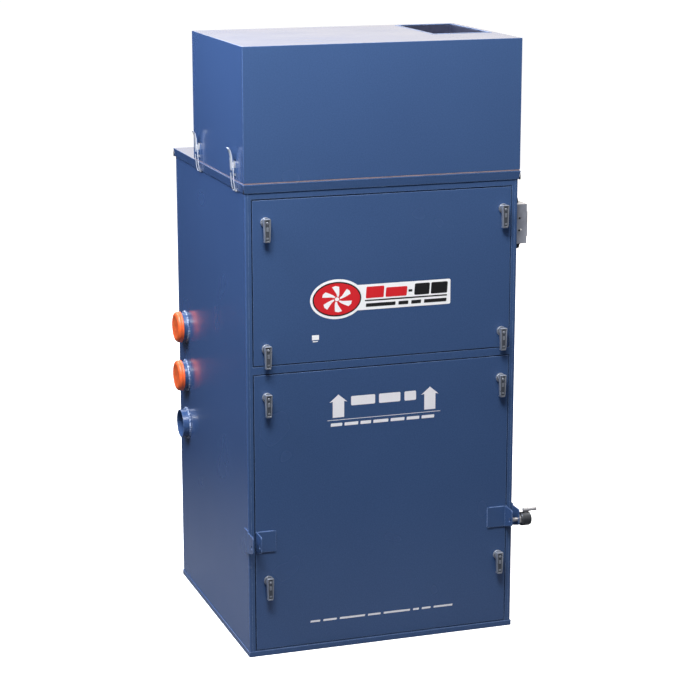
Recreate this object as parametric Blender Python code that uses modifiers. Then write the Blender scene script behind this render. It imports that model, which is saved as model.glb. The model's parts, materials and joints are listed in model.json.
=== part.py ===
"""Cabinet dust collector: a sheet-steel cabinet with two lift-off doors, a blower under a clipped-on
hood, three hose inlets, hanging filter pockets and a dust drawer.

Metres, +Z up. The front faces -Y and the origin is the centre of the base, on the floor.
Each named object is one physical piece. Empties stand on the joints' axes and carry what moves.
"""

import math

import bmesh
import bpy
from mathutils import Matrix, Vector

# ---------------------------------------------------------------- driving dimensions
WIDTH = 0.711
DEPTH = 0.665
CABINET_HEIGHT = 1.206
TOTAL_HEIGHT = 1.536
SHEET = 0.002
GAP = 0.0003  # between pieces that touch

LEFT, RIGHT = -WIDTH / 2, WIDTH / 2
FRONT, BACK = -DEPTH / 2, DEPTH / 2

# door openings in the front frame
STILE = 0.015
LOWER_OPENING = (0.0150, 0.7340)
UPPER_OPENING = (0.7535, 1.1690)
DOOR_CLEARANCE = 0.0025
SEAT_WIDTH = 0.010
SEAT_FACE = FRONT + 0.024
DOOR_PROUD = 0.0005
DOOR_THICKNESS = 0.0185
DOOR_SHEET = 0.0015

# latches: height on the door, and distance of the hub from the cabinet's centre line
LATCH_HEIGHTS = {"upper": (1.113, 0.798), "lower": (0.6755, 0.2005)}
LATCH_SIDES = {"left": -0.306, "right": 0.316}
HUB_RADIUS = 0.0105
STEM_RADIUS = 0.005
HANDLE_LENGTH = 0.048
CAM_LENGTH = 0.030
CAM_FACE = SEAT_FACE + SHEET + 0.002

# base, deck and hood
RIM_HEIGHT = 0.014
SKIRT_HEIGHT = 0.022
SKIRT_OUT_TOP, SKIRT_OUT_FOOT = 0.0055, 0.0025
HOOD_PROUD = 0.004
HOOD_BACK = 0.1266
HOOD_FOOT = CABINET_HEIGHT + 0.0031
OUTLET_LOW, OUTLET_HIGH = (0.1916, -0.1649), (0.3432, 0.1063)

# spring clips that hold the hood down
CLIP_PLACES = {"front": -0.262, "rear": 0.070}
CLIP_PIVOT_OUT, CLIP_PIVOT_UP = 0.0065, 0.0255
CLIP_LINK_UP = 0.012
CLIP_WIDTH = 0.015
WIRE_RADIUS = 0.00125

# inlets on the left side
INLET_Y = 0.2617
INLET_HEIGHTS = {"top": 0.7300, "middle": 0.5950, "bottom": 0.4600}
COLLAR_RADIUS, COLLAR_WALL, COLLAR_OUT = 0.038, 0.002, 0.020
CAP_RADIUS, CAP_START, CAP_END = 0.0415, 0.007, 0.030

# ears on the lower door and frame, and the lock bolt between them
EAR_LOW, EAR_HIGH = 0.275, 0.331
EAR_REACH, EAR_SHEET = 0.047, 0.003
PIN_Y, PIN_Z, PIN_RADIUS = FRONT - 0.035, 0.302, 0.005

# switch box on the right side
BOX_FRONT, BOX_WIDE, BOX_DEEP, BOX_LOW, BOX_TALL = -0.2786, 0.054, 0.048, 1.0086, 0.1016

# filter pockets, shaker and drawer
PLATE_Z = 0.785
POCKET_PLACES = (-0.21, -0.07, 0.07, 0.21)
POCKET_HALF, POCKET_FRONT, POCKET_BACK, POCKET_FOOT = 0.033, -0.22, 0.24, 0.270

# blower under the hood
FAN_Y, FAN_Z = -0.02925, 1.348
SCROLL_LEFT, SCROLL_RIGHT, SCROLL_RADIUS = 0.1900, 0.3450, 0.13725

# ---------------------------------------------------------------- scene and materials
for stale in list(bpy.data.objects):
    bpy.data.objects.remove(stale)

parts = bpy.data.collections.new("dust_collector")
cutters = bpy.data.collections.new("cutters")
for group in (parts, cutters):
    bpy.context.scene.collection.children.link(group)


def finish(name, colour, roughness, metallic=0.0):
    made = bpy.data.materials.new(name)
    made.use_nodes = True
    shader = made.node_tree.nodes["Principled BSDF"]
    shader.inputs["Base Color"].default_value = (*colour, 1.0)
    shader.inputs["Roughness"].default_value = roughness
    shader.inputs["Metallic"].default_value = metallic
    return made


BLUE = finish("blue_paint", (0.040, 0.085, 0.235), 0.35)
ZINC = finish("zinc", (0.42, 0.43, 0.45), 0.40, 0.9)
CHROME = finish("chrome", (0.75, 0.76, 0.78), 0.18, 1.0)
GALVANISED = finish("galvanised", (0.55, 0.57, 0.60), 0.45, 0.9)
ORANGE = finish("orange_plastic", (0.72, 0.13, 0.035), 0.40)
BLACK = finish("black_plastic", (0.012, 0.012, 0.014), 0.45)
RUBBER = finish("foam_rubber", (0.14, 0.12, 0.12), 0.85)
CLOTH = finish("filter_cloth", (0.62, 0.59, 0.50), 0.95)
MOTOR = finish("motor_paint", (0.16, 0.17, 0.18), 0.55)


# ---------------------------------------------------------------- modelling helpers
def add(name, data, paint=None, at=(0, 0, 0), turn=(0, 0, 0), group=parts):
    """Links a new object. Parts get a material, cutters are hidden from the build."""
    made = bpy.data.objects.new(name, data)
    made.location = at
    made.rotation_euler = turn
    group.objects.link(made)
    if paint is not None:
        data.materials.clear()
        data.materials.append(paint)
    if group is cutters:
        made.hide_render = True
        made.display_type = "WIRE"
    return made


def box(name, low, high, paint=None, origin=None, group=parts, open_side=None):
    """A box between two corners. open_side is a direction whose face is left out."""
    low, high = Vector(low), Vector(high)
    origin = (low + high) / 2 if origin is None else Vector(origin)
    size = Matrix.Diagonal((*(high - low), 1))
    bm = bmesh.new()
    bmesh.ops.create_cube(bm, size=1, matrix=Matrix.Translation((low + high) / 2 - origin) @ size)
    if open_side is not None:
        bm.normal_update()
        faces = [f for f in bm.faces if f.normal.dot(Vector(open_side)) > 0.9]
        bmesh.ops.delete(bm, geom=faces, context="FACES")
    mesh = bpy.data.meshes.new(name)
    bm.to_mesh(mesh)
    bm.free()
    return add(name, mesh, paint, at=origin, group=group)


def cutter(name, low, high):
    return box(name, low, high, group=cutters)


def rod(name, start, end, radius, sides=24, paint=None, origin=None, group=parts):
    """A cylinder between two points."""
    start, end = Vector(start), Vector(end)
    origin = (start + end) / 2 if origin is None else Vector(origin)
    along = end - start
    turn = along.to_track_quat("Z", "Y").to_matrix().to_4x4()
    bm = bmesh.new()
    bmesh.ops.create_cone(
        bm, cap_ends=True, segments=sides, radius1=radius, radius2=radius, depth=along.length,
        matrix=Matrix.Translation((start + end) / 2 - origin) @ turn)
    mesh = bpy.data.meshes.new(name)
    bm.to_mesh(mesh)
    bm.free()
    return add(name, mesh, paint, at=origin, group=group)


def bake(obj, paint=None):
    """Turns an object's modifiers, or a curve, into a plain closed mesh."""
    graph = bpy.context.evaluated_depsgraph_get()
    mesh = bpy.data.meshes.new_from_object(obj.evaluated_get(graph))
    bm = bmesh.new()
    bm.from_mesh(mesh)
    bmesh.ops.remove_doubles(bm, verts=bm.verts, dist=1e-6)
    bmesh.ops.recalc_face_normals(bm, faces=bm.faces)
    bm.to_mesh(mesh)
    bm.free()
    helpers = [m.object for m in obj.modifiers if m.type == "BOOLEAN"]
    name, place, group = obj.name, obj.matrix_world.copy(), obj.users_collection[0]
    for stale in [obj, *helpers]:
        bpy.data.objects.remove(stale)
    made = add(name, mesh, paint, group=group)
    made.matrix_world = place
    return made


def combine(target, operand, operation):
    modifier = target.modifiers.new(f"{operation.lower()}_{operand.name}", "BOOLEAN")
    modifier.object = operand
    modifier.operation = operation
    modifier.solver = "EXACT"
    return target


def cut(target, *operands):
    for operand in operands:
        combine(target, operand, "DIFFERENCE")
    return target


def join(target, *operands):
    """Unites shapes into one body. The operands stop being parts."""
    for operand in operands:
        parts.objects.unlink(operand)
        cutters.objects.link(operand)
        operand.hide_render = True
        operand.display_type = "WIRE"
        combine(target, operand, "UNION")
    return target


def soften(obj, width, segments=2, angle=math.radians(40)):
    """Rounded edges."""
    bevel = obj.modifiers.new("rounded", "BEVEL")
    bevel.width = width
    bevel.segments = segments
    bevel.limit_method = "ANGLE"
    bevel.angle_limit = angle
    return obj


def folded(obj, thickness):
    """Gives an open box the thickness of its sheet, on the inside."""
    solidify = obj.modifiers.new("sheet", "SOLIDIFY")
    solidify.thickness = thickness
    solidify.offset = -1
    solidify.use_even_offset = True
    return obj


def turned(name, profile, at, turn, paint, steps=32, closed=True):
    """A turned shape about local Z, from (radius, height) points. A closed profile makes a ring."""
    mesh = bpy.data.meshes.new(name)
    count = len(profile)
    edges = [(i, (i + 1) % count) for i in range(count if closed else count - 1)]
    mesh.from_pydata([(radius, 0, height) for radius, height in profile], edges, [])
    made = add(name, mesh, paint, at=at, turn=turn)
    screw = made.modifiers.new("turned", "SCREW")
    screw.steps = screw.render_steps = steps
    screw.use_merge_vertices = True
    screw.merge_threshold = 0.00001
    return bake(made, paint)


def outline(name, points, thickness, at, turn, paint):
    """A flat plate from a 2D outline in local XY, centred on its thickness."""
    curve = bpy.data.curves.new(name, "CURVE")
    curve.dimensions = "2D"
    curve.fill_mode = "BOTH"
    curve.extrude = thickness / 2
    spline = curve.splines.new("POLY")
    spline.points.add(len(points) - 1)
    for point, (x, y) in zip(spline.points, points):
        point.co = (x, y, 0, 1)
    spline.use_cyclic_u = True
    return bake(add(name, curve, at=at, turn=turn), paint)


def wire(name, points, radius, paint, cyclic=False, origin=(0, 0, 0)):
    """A round wire or tube along points."""
    curve = bpy.data.curves.new(name, "CURVE")
    curve.dimensions = "3D"
    curve.bevel_depth = radius
    curve.bevel_resolution = 2
    curve.use_fill_caps = True
    spline = curve.splines.new("POLY")
    spline.points.add(len(points) - 1)
    for point, place in zip(spline.points, points):
        point.co = (*(Vector(place) - Vector(origin)), 1)
    spline.use_cyclic_u = cyclic
    return bake(add(name, curve, at=origin), paint)


def smooth(points, per_span=4, cyclic=False):
    """Points read from a smooth curve through the given ones."""
    points = [Vector(p) for p in points]
    count = len(points)
    spans = count if cyclic else count - 1
    found = []
    for i in range(spans):
        ends = [i - 1, i, i + 1, i + 2]
        a, b, c, d = (points[k % count] if cyclic else points[min(max(k, 0), count - 1)] for k in ends)
        for step in range(per_span):
            t = step / per_span
            found.append(0.5 * (2 * b + (c - a) * t + (2 * a - 5 * b + 4 * c - d) * t**2
                                + (3 * b - a - 3 * c + d) * t**3))
    return found if cyclic else [*found, points[-1]]


def empty(name, at):
    """A joint's place. What moves with the joint is parented to it."""
    made = bpy.data.objects.new(name, None)
    made.location = at
    parts.objects.link(made)
    return made


def carry(parent, *pieces):
    """Parents pieces that are already in place."""
    bpy.context.view_layer.update()
    for piece in pieces:
        place = piece.matrix_world.copy()
        piece.parent = parent
        piece.matrix_parent_inverse = parent.matrix_world.inverted()
        piece.matrix_world = place


def share(master, name, at):
    """A copy of a piece that shares its mesh."""
    made = add(name, master.data, at=at)
    made.rotation_euler = master.rotation_euler
    return made


# ---------------------------------------------------------------- cabinet
def build_base_pan():
    rim = SHEET + GAP
    pan = box("base_pan", (LEFT - rim, FRONT - rim, 0), (RIGHT + rim, BACK + rim, RIM_HEIGHT), BLUE,
              open_side=(0, 0, 1))
    folded(pan, SHEET)


def build_panels():
    foot, top = SHEET + GAP, CABINET_HEIGHT - SHEET - GAP
    inside_front, inside_back = FRONT + SHEET + GAP, BACK - SHEET - GAP
    left = box("left_panel", (LEFT, inside_front, foot), (LEFT + SHEET, inside_back, top), BLUE)
    for place, height in INLET_HEIGHTS.items():
        hole = rod(f"inlet_hole_{place}", (LEFT - 0.01, INLET_Y, height), (LEFT + 0.01, INLET_Y, height),
                   COLLAR_RADIUS + GAP, 40, group=cutters)
        cut(left, hole)
    right = box("right_panel", (RIGHT - SHEET, inside_front, foot), (RIGHT, inside_back, top), BLUE)
    lead_hole = rod("lead_hole", (RIGHT - 0.01, *LEAD_START), (RIGHT + 0.01, *LEAD_START), 0.0038, 16,
                    group=cutters)
    cut(right, lead_hole)
    box("back_panel", (LEFT, BACK - SHEET, foot), (RIGHT, BACK, top), BLUE)


def build_door_frame():
    """Front frame of stiles and rails, with a jamb and a gasket seat round each door opening."""
    foot, top = SHEET + GAP, CABINET_HEIGHT - SHEET - GAP
    seat_back = SEAT_FACE + SHEET
    frame = box("door_frame", (LEFT, FRONT, foot), (RIGHT, seat_back, top), BLUE)
    half = WIDTH / 2 - STILE
    past = 0.02
    for place, (low, high) in {"lower": LOWER_OPENING, "upper": UPPER_OPENING}.items():
        recess = cutter(f"{place}_recess", (-half, FRONT - past, low), (half, SEAT_FACE, high))
        through = cutter(f"{place}_through", (-half + SEAT_WIDTH, FRONT - past, low + SEAT_WIDTH),
                         (half - SEAT_WIDTH, seat_back + past, high - SEAT_WIDTH))
        cut(frame, recess, through)
    skin, outer = FRONT + SHEET, half + SHEET
    low_edge, mid_low, mid_high, high_edge = (
        LOWER_OPENING[0] - SHEET, LOWER_OPENING[1] + SHEET, UPPER_OPENING[0] - SHEET,
        UPPER_OPENING[1] + SHEET)
    pockets = {
        "left": ((LEFT - past, skin, foot - past), (-outer, seat_back + past, top + past)),
        "right": ((outer, skin, foot - past), (RIGHT + past, seat_back + past, top + past)),
        "sill": ((LEFT - past, skin, foot - past), (RIGHT + past, seat_back + past, low_edge)),
        "middle": ((LEFT - past, skin, mid_low), (RIGHT + past, seat_back + past, mid_high)),
        "header": ((LEFT - past, skin, high_edge), (RIGHT + past, seat_back + past, top + past)),
    }
    for place, (low, high) in pockets.items():
        cut(frame, cutter(f"frame_pocket_{place}", low, high))


def build_top_deck():
    """Deck whose edges turn down over the cabinet and lean in a little."""
    out = SKIRT_OUT_TOP
    deck = box("top_deck", (LEFT - out, FRONT - out, CABINET_HEIGHT - SKIRT_HEIGHT),
               (RIGHT + out, BACK + out, CABINET_HEIGHT), BLUE, open_side=(0, 0, -1))
    lean = SKIRT_OUT_TOP - SKIRT_OUT_FOOT
    for vertex in deck.data.vertices:
        if vertex.co.z < 0:
            vertex.co.x -= math.copysign(lean, vertex.co.x)
            vertex.co.y -= math.copysign(lean, vertex.co.y)
    folded(deck, 0.0018)
    cut(deck, cutter("fan_inlet", (0.078, -0.112, CABINET_HEIGHT - 0.01), (0.182, 0.052, CABINET_HEIGHT + 0.01)))


def build_hood():
    """Hood open below, with the exhaust outlet in its top and four clip brackets on its sides."""
    low = (LEFT - HOOD_PROUD, FRONT - HOOD_PROUD, HOOD_FOOT)
    high = (RIGHT + HOOD_PROUD, HOOD_BACK, TOTAL_HEIGHT)
    hood = folded(box("hood_shell", low, high, BLUE, open_side=(0, 0, -1)), SHEET)
    cut(hood, cutter("outlet", (*OUTLET_LOW, TOTAL_HEIGHT - 0.01), (*OUTLET_HIGH, TOTAL_HEIGHT + 0.01)))
    for side, sign in (("left", -1), ("right", 1)):
        for place, y in CLIP_PLACES.items():
            join(hood, *clip_bracket(f"{side}_{place}", sign, y))
    strip, width = 0.0025, 0.018
    foot = CABINET_HEIGHT + GAP
    gasket = box("hood_gasket", (low[0] + 0.0005, low[1] + 0.0005, foot), (high[0] - 0.0005, high[1], foot + strip),
                 RUBBER)
    cut(gasket, cutter("gasket_inside", (low[0] + width, low[1] + width, foot - 0.01),
                       (high[0] - width, high[1] - width, foot + 0.01)))


def clip_bracket(name, sign, y):
    """Plate and two ears that carry a spring clip's pivot, as pieces to unite with the hood."""
    wall = sign * (WIDTH / 2 + HOOD_PROUD)
    half, ear, low = CLIP_WIDTH / 2 + 0.0006, 0.0014, HOOD_FOOT + 0.010

    def span(near, far):
        return sorted((wall + sign * near, wall + sign * far))

    (a, b), (c, d) = span(-0.001, 0.0012), span(-0.001, CLIP_PIVOT_OUT + 0.0035)
    pieces = [box(f"clip_plate_{name}", (a, y - half - ear, low), (b, y + half + ear, low + 0.034))]
    for end, edge in (("a", y - half - ear), ("b", y + half)):
        pieces.append(box(f"clip_ear_{name}_{end}", (c, edge, low + 0.006), (d, edge + ear, low + 0.020)))
    return pieces


# ---------------------------------------------------------------- doors and latches
def build_door(name, opening, latch_heights):
    """A pan door with its gasket, on an empty that slides straight out."""
    half = WIDTH / 2 - STILE - DOOR_CLEARANCE
    low, high = opening[0] + DOOR_CLEARANCE, opening[1] - DOOR_CLEARANCE
    face = FRONT - DOOR_PROUD
    rear = face + DOOR_THICKNESS
    slide = empty(f"{name}_slide", (0, face, (low + high) / 2))
    door = box(name, (-half, face, low), (half, rear, high), BLUE, open_side=(0, 1, 0))
    folded(door, DOOR_SHEET)
    for x in LATCH_SIDES.values():
        for z in latch_heights:
            cut(door, rod(f"{name}_hole_{x}_{z}", (x, face - 0.01, z), (x, face + 0.01, z), 0.0093, 20,
                          group=cutters))
    strip = 0.008
    gasket = box(f"{name}_gasket", (-half, rear + GAP, low), (half, SEAT_FACE - GAP, high), RUBBER)
    cut(gasket, cutter(f"{name}_gasket_inside", (-half + strip, rear - 0.01, low + strip),
                       (half - strip, SEAT_FACE + 0.01, high - strip)))
    carry(slide, door, gasket)
    return slide


def latch_housing_master():
    """Round escutcheon with the sleeve that passes through the door. Local +Z faces out."""
    bore, sleeve, flange = STEM_RADIUS + 0.0004, 0.0090, 0.0120
    profile = [(bore, 0.0050), (flange - 0.0012, 0.0050), (flange, 0.0038), (flange, 0.0), (sleeve, 0.0),
               (sleeve, -0.0150), (bore, -0.0150)]
    return profile


def latch_handle_master(name, at):
    """Lever handle, stem and cam in one turning piece. The hub's axis runs along Y through its origin,
    at the door's face, and the lever hangs down."""
    x, y, z = at
    out = lambda distance: y - distance  # noqa: E731
    hub = rod(name, (x, out(0.0056), z), (x, out(0.0225), z), HUB_RADIUS, 24, ZINC, origin=at)
    soften(hub, 0.0012, 1)
    stem = rod(f"{name}_stem", (x, out(0.0070), z), (x, CAM_FACE + 0.0030, z), STEM_RADIUS, 16, origin=at)
    lever_points = [(-0.0085, 0.004), (-0.0065, -HANDLE_LENGTH + 0.002), (-0.0045, -HANDLE_LENGTH),
                    (0.0045, -HANDLE_LENGTH), (0.0065, -HANDLE_LENGTH + 0.002), (0.0085, 0.004)]
    lever = outline(f"{name}_lever", lever_points, 0.0065, (x, out(0.0190), z), (math.pi / 2, 0, 0), ZINC)
    tip_low, tip_high = z - HANDLE_LENGTH + 0.0003, z - HANDLE_LENGTH + 0.0035
    tip = box(f"{name}_tip", (x - 0.0044, out(0.0180), tip_low), (x + 0.0044, out(0.0045), tip_high))
    tongue = CAM_LENGTH - 0.004
    cam_points = [(-0.008, 0.006), (-0.008, -tongue), (-0.005, -CAM_LENGTH), (0.005, -CAM_LENGTH),
                  (0.008, -tongue), (0.008, 0.006), (0.004, 0.009), (-0.004, 0.009)]
    cam = outline(f"{name}_cam", cam_points, 0.0035, (x, CAM_FACE + 0.00175, z), (math.pi / 2, 0, 0), ZINC)
    return bake(join(hub, stem, lever, tip, cam), ZINC)


def build_latches(door_name, heights, slide):
    """Two latches down each side of a door."""
    face = FRONT - DOOR_PROUD
    masters = {}
    for side, x in LATCH_SIDES.items():
        for level, z in zip(("top", "foot"), heights):
            stem = f"{door_name}_latch_{side}_{level}"
            at = (x, face - GAP, z)
            joint = empty(f"{stem}_axis", at)
            if not masters:
                masters["housing"] = turned(f"{stem}_housing", latch_housing_master(), at,
                                            (math.pi / 2, 0, 0), ZINC, 20)
                masters["handle"] = latch_handle_master(f"{stem}_handle", at)
                housing, handle = masters["housing"], masters["handle"]
            else:
                housing = share(masters["housing"], f"{stem}_housing", at)
                handle = share(masters["handle"], f"{stem}_handle", at)
            carry(slide, housing, joint)
            carry(joint, handle)


# ---------------------------------------------------------------- hood clips
def build_clips():
    """Spring clips: a lever on the hood's bracket, and a wire loop that hooks under the deck's skirt."""
    for side, sign in (("left", -1), ("right", 1)):
        for place, y in CLIP_PLACES.items():
            build_clip(f"clip_{side}_{place}", sign, y)


def build_clip(name, sign, y):
    wall = WIDTH / 2 + HOOD_PROUD
    pivot = Vector((sign * (wall + CLIP_PIVOT_OUT), y, HOOD_FOOT + CLIP_PIVOT_UP))
    link = pivot + Vector((sign * 0.0005, 0, CLIP_LINK_UP))
    lever_axis, loop_axis = empty(f"{name}_lever_axis", pivot), empty(f"{name}_loop_axis", link)

    # side view of the lever, outwards and up from its pivot
    side_view = [(-0.0030, -0.0030), (0.0030, -0.0030), (0.0042, 0.008), (0.0046, 0.030), (0.0075, 0.044),
                 (0.0125, 0.052), (0.0110, 0.0530), (0.0055, 0.0455), (0.0020, 0.031), (0.0012, 0.018),
                 (-0.0028, 0.016), (-0.0030, 0.008)]
    points = [(sign * x, z) for x, z in side_view]
    lever = outline(f"{name}_lever", points, CLIP_WIDTH, pivot, (math.pi / 2, 0, 0), CHROME)
    hole = rod(f"{name}_link_hole", link - Vector((0, 0.02, 0)), link + Vector((0, 0.02, 0)),
               WIRE_RADIUS + 0.0004, 12, group=cutters)
    cut(lever, hole)
    lever = bake(lever, CHROME)

    half = CLIP_WIDTH / 2 + 0.0006 + 0.0014 + WIRE_RADIUS + 0.0006
    skirt_foot = CABINET_HEIGHT - SKIRT_HEIGHT
    hook_z = skirt_foot - WIRE_RADIUS - 0.0006
    out = lambda x, z: (sign * (WIDTH / 2 + x), z)  # noqa: E731
    leg = [(link.x, link.z), out(0.0115, 1.225), out(0.0105, 1.205), out(0.0085, 1.190), out(0.0060, hook_z - 0.001)]
    tip = out(0.0022, hook_z)
    path = [(x, y + half, z) for x, z in leg] + [(tip[0], y + half - 0.003, tip[1])]
    path += [(tip[0], y - half + 0.003, tip[1])] + [(x, y - half, z) for x, z in reversed(leg)]
    loop = wire(f"{name}_loop", path, WIRE_RADIUS, CHROME, cyclic=True, origin=link)
    carry(lever_axis, lever, loop_axis)
    carry(loop_axis, loop)


# ---------------------------------------------------------------- inlets
def build_inlets():
    """Welded collars on the left side. The upper two are closed by pull-off caps."""
    facing_left = (0, -math.pi / 2, 0)
    bore, inner = COLLAR_RADIUS - COLLAR_WALL, -0.010
    collar = [(bore, inner), (bore, COLLAR_OUT), (COLLAR_RADIUS, COLLAR_OUT), (COLLAR_RADIUS, 0.0035),
              (COLLAR_RADIUS + 0.0030, 0.0004), (COLLAR_RADIUS + 0.0030, GAP), (COLLAR_RADIUS, GAP),
              (COLLAR_RADIUS, inner)]
    lip, end = COLLAR_RADIUS + 0.0005, CAP_END - CAP_START
    cap = [(lip, 0), (CAP_RADIUS - 0.0006, 0), (CAP_RADIUS, 0.003), (CAP_RADIUS + 0.0004, 0.011),
           (CAP_RADIUS - 0.0020, end - 0.004), (CAP_RADIUS - 0.0055, end - 0.0008), (0.020, end), (0, end),
           (0, end - 0.003), (lip - 0.004, end - 0.003), (lip, end - 0.007)]
    for place, height in INLET_HEIGHTS.items():
        turned(f"inlet_collar_{place}", collar, (LEFT, INLET_Y, height), facing_left, BLUE, 40)
        if place == "bottom":
            continue
        at = (LEFT - CAP_START, INLET_Y, height)
        piece = turned(f"inlet_cap_{place}", cap, at, facing_left, ORANGE, 40)
        carry(empty(f"inlet_cap_{place}_slide", at), piece)


# ---------------------------------------------------------------- ears and pull pin
def build_ears(lower_slide):
    """Door ears and frame ears stand out in pairs. The right pair takes the lock bolt."""
    for side, sign in (("left", -1), ("right", 1)):
        door_edge = WIDTH / 2 - STILE - DOOR_CLEARANCE
        face = FRONT - DOOR_PROUD - GAP
        plate = box(f"{side}_door_ear", *span_box(sign, door_edge - 0.052, door_edge - EAR_SHEET / 2,
                                                  face - EAR_SHEET, face, EAR_LOW + 0.001, EAR_HIGH - 0.001), BLUE)
        join(plate, ear_blade(f"{side}_door_ear_blade", sign * (door_edge - EAR_SHEET / 2), face - 0.0005))
        drill(plate, sign, door_edge)
        carry(lower_slide, plate)
        outer = WIDTH / 2 + GAP
        strap = box(f"{side}_frame_ear", *span_box(sign, outer, outer + EAR_SHEET, FRONT - 0.002, FRONT + 0.030,
                                                   EAR_LOW + 0.002, EAR_HIGH + 0.004), BLUE)
        join(strap, ear_blade(f"{side}_frame_ear_blade", sign * (outer + EAR_SHEET / 2), FRONT + 0.002))
        drill(strap, sign, outer)


def span_box(sign, near, far, y0, y1, z0, z1):
    """Corners of a box between two distances from the centre line, on one side of it."""
    xs = sorted((sign * near, sign * far))
    return (xs[0], y0, z0), (xs[1], y1, z1)


def ear_blade(name, x, root):
    """Forward-standing blade with a rising lower edge, thin along X."""
    reach = EAR_REACH
    points = [(0, EAR_LOW), (0, EAR_HIGH), (-reach + 0.004, EAR_HIGH), (-reach, EAR_HIGH - 0.004),
              (-reach, EAR_LOW + 0.017), (-reach + 0.004, EAR_LOW + 0.013)]
    middle = (EAR_LOW + EAR_HIGH) / 2
    local = [(y, z - middle) for y, z in points]
    return outline(name, local, EAR_SHEET - 0.0004, (x, root, middle), (math.pi / 2, 0, math.pi / 2), BLUE)


def drill(obj, sign, x):
    name = f"{obj.name}_pin_hole"
    cut(obj, rod(name, (sign * x - 0.02, PIN_Y, PIN_Z), (sign * x + 0.02, PIN_Y, PIN_Z), PIN_RADIUS + 0.0004,
                 20, group=cutters))


def build_lock():
    """Lock on the right frame ear: a nut, a slotted barrel, and a bolt whose side bar works in the slot.
    At rest the bolt bridges to just short of the door ear."""
    facing_right = (0, math.pi / 2, 0)
    seat = WIDTH / 2 + GAP + EAR_SHEET + GAP
    bore = PIN_RADIUS + 0.0004
    nut = rod("lock_nut", (seat, PIN_Y, PIN_Z), (seat + 0.0045, PIN_Y, PIN_Z), 0.0125, 6, ZINC)
    cut(nut, rod("nut_bore", (seat - 0.01, PIN_Y, PIN_Z), (seat + 0.02, PIN_Y, PIN_Z), bore, 20, group=cutters))

    start, length = seat + 0.0045 + GAP, 0.028
    shell = [(bore, 0), (bore, length), (0.0130, length), (0.0165, length - 0.002), (0.0180, length - 0.007),
             (0.0180, 0.002), (0.0165, 0)]
    barrel = turned("lock_barrel", shell, (start, PIN_Y, PIN_Z), facing_right, BLACK, 28)
    slot = (start + 0.0005, start + 0.0205)
    cut(barrel, cutter("bar_slot", (slot[0], PIN_Y - 0.0050, PIN_Z), (slot[1], PIN_Y + 0.0050, PIN_Z + 0.03)))

    neck, bar_z = slot[0] + 0.0145, PIN_Z + 0.0238
    tip = WIDTH / 2 - STILE - DOOR_CLEARANCE + 0.0015
    bolt = rod("lock_bolt", (tip, PIN_Y, PIN_Z), (start + length - 0.003, PIN_Y, PIN_Z), PIN_RADIUS, 20, ZINC)
    join(bolt, rod("bar_neck", (neck, PIN_Y, PIN_Z), (neck, PIN_Y, bar_z), 0.0040, 16),
         rod("bar_boss", (neck - 0.0070, PIN_Y, bar_z), (neck + 0.0090, PIN_Y, bar_z), 0.0054, 20),
         rod("bar_rod", (neck + 0.0070, PIN_Y, bar_z), (neck + 0.0300, PIN_Y, bar_z), 0.0045, 20))
    carry(empty("lock_bolt_slide", (tip, PIN_Y, PIN_Z)), bake(bolt, ZINC))


# ---------------------------------------------------------------- switch box
LEAD_START = (BOX_FRONT + BOX_WIDE / 2, BOX_LOW + BOX_TALL + 0.019)  # y and z of the lead's hole


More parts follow.
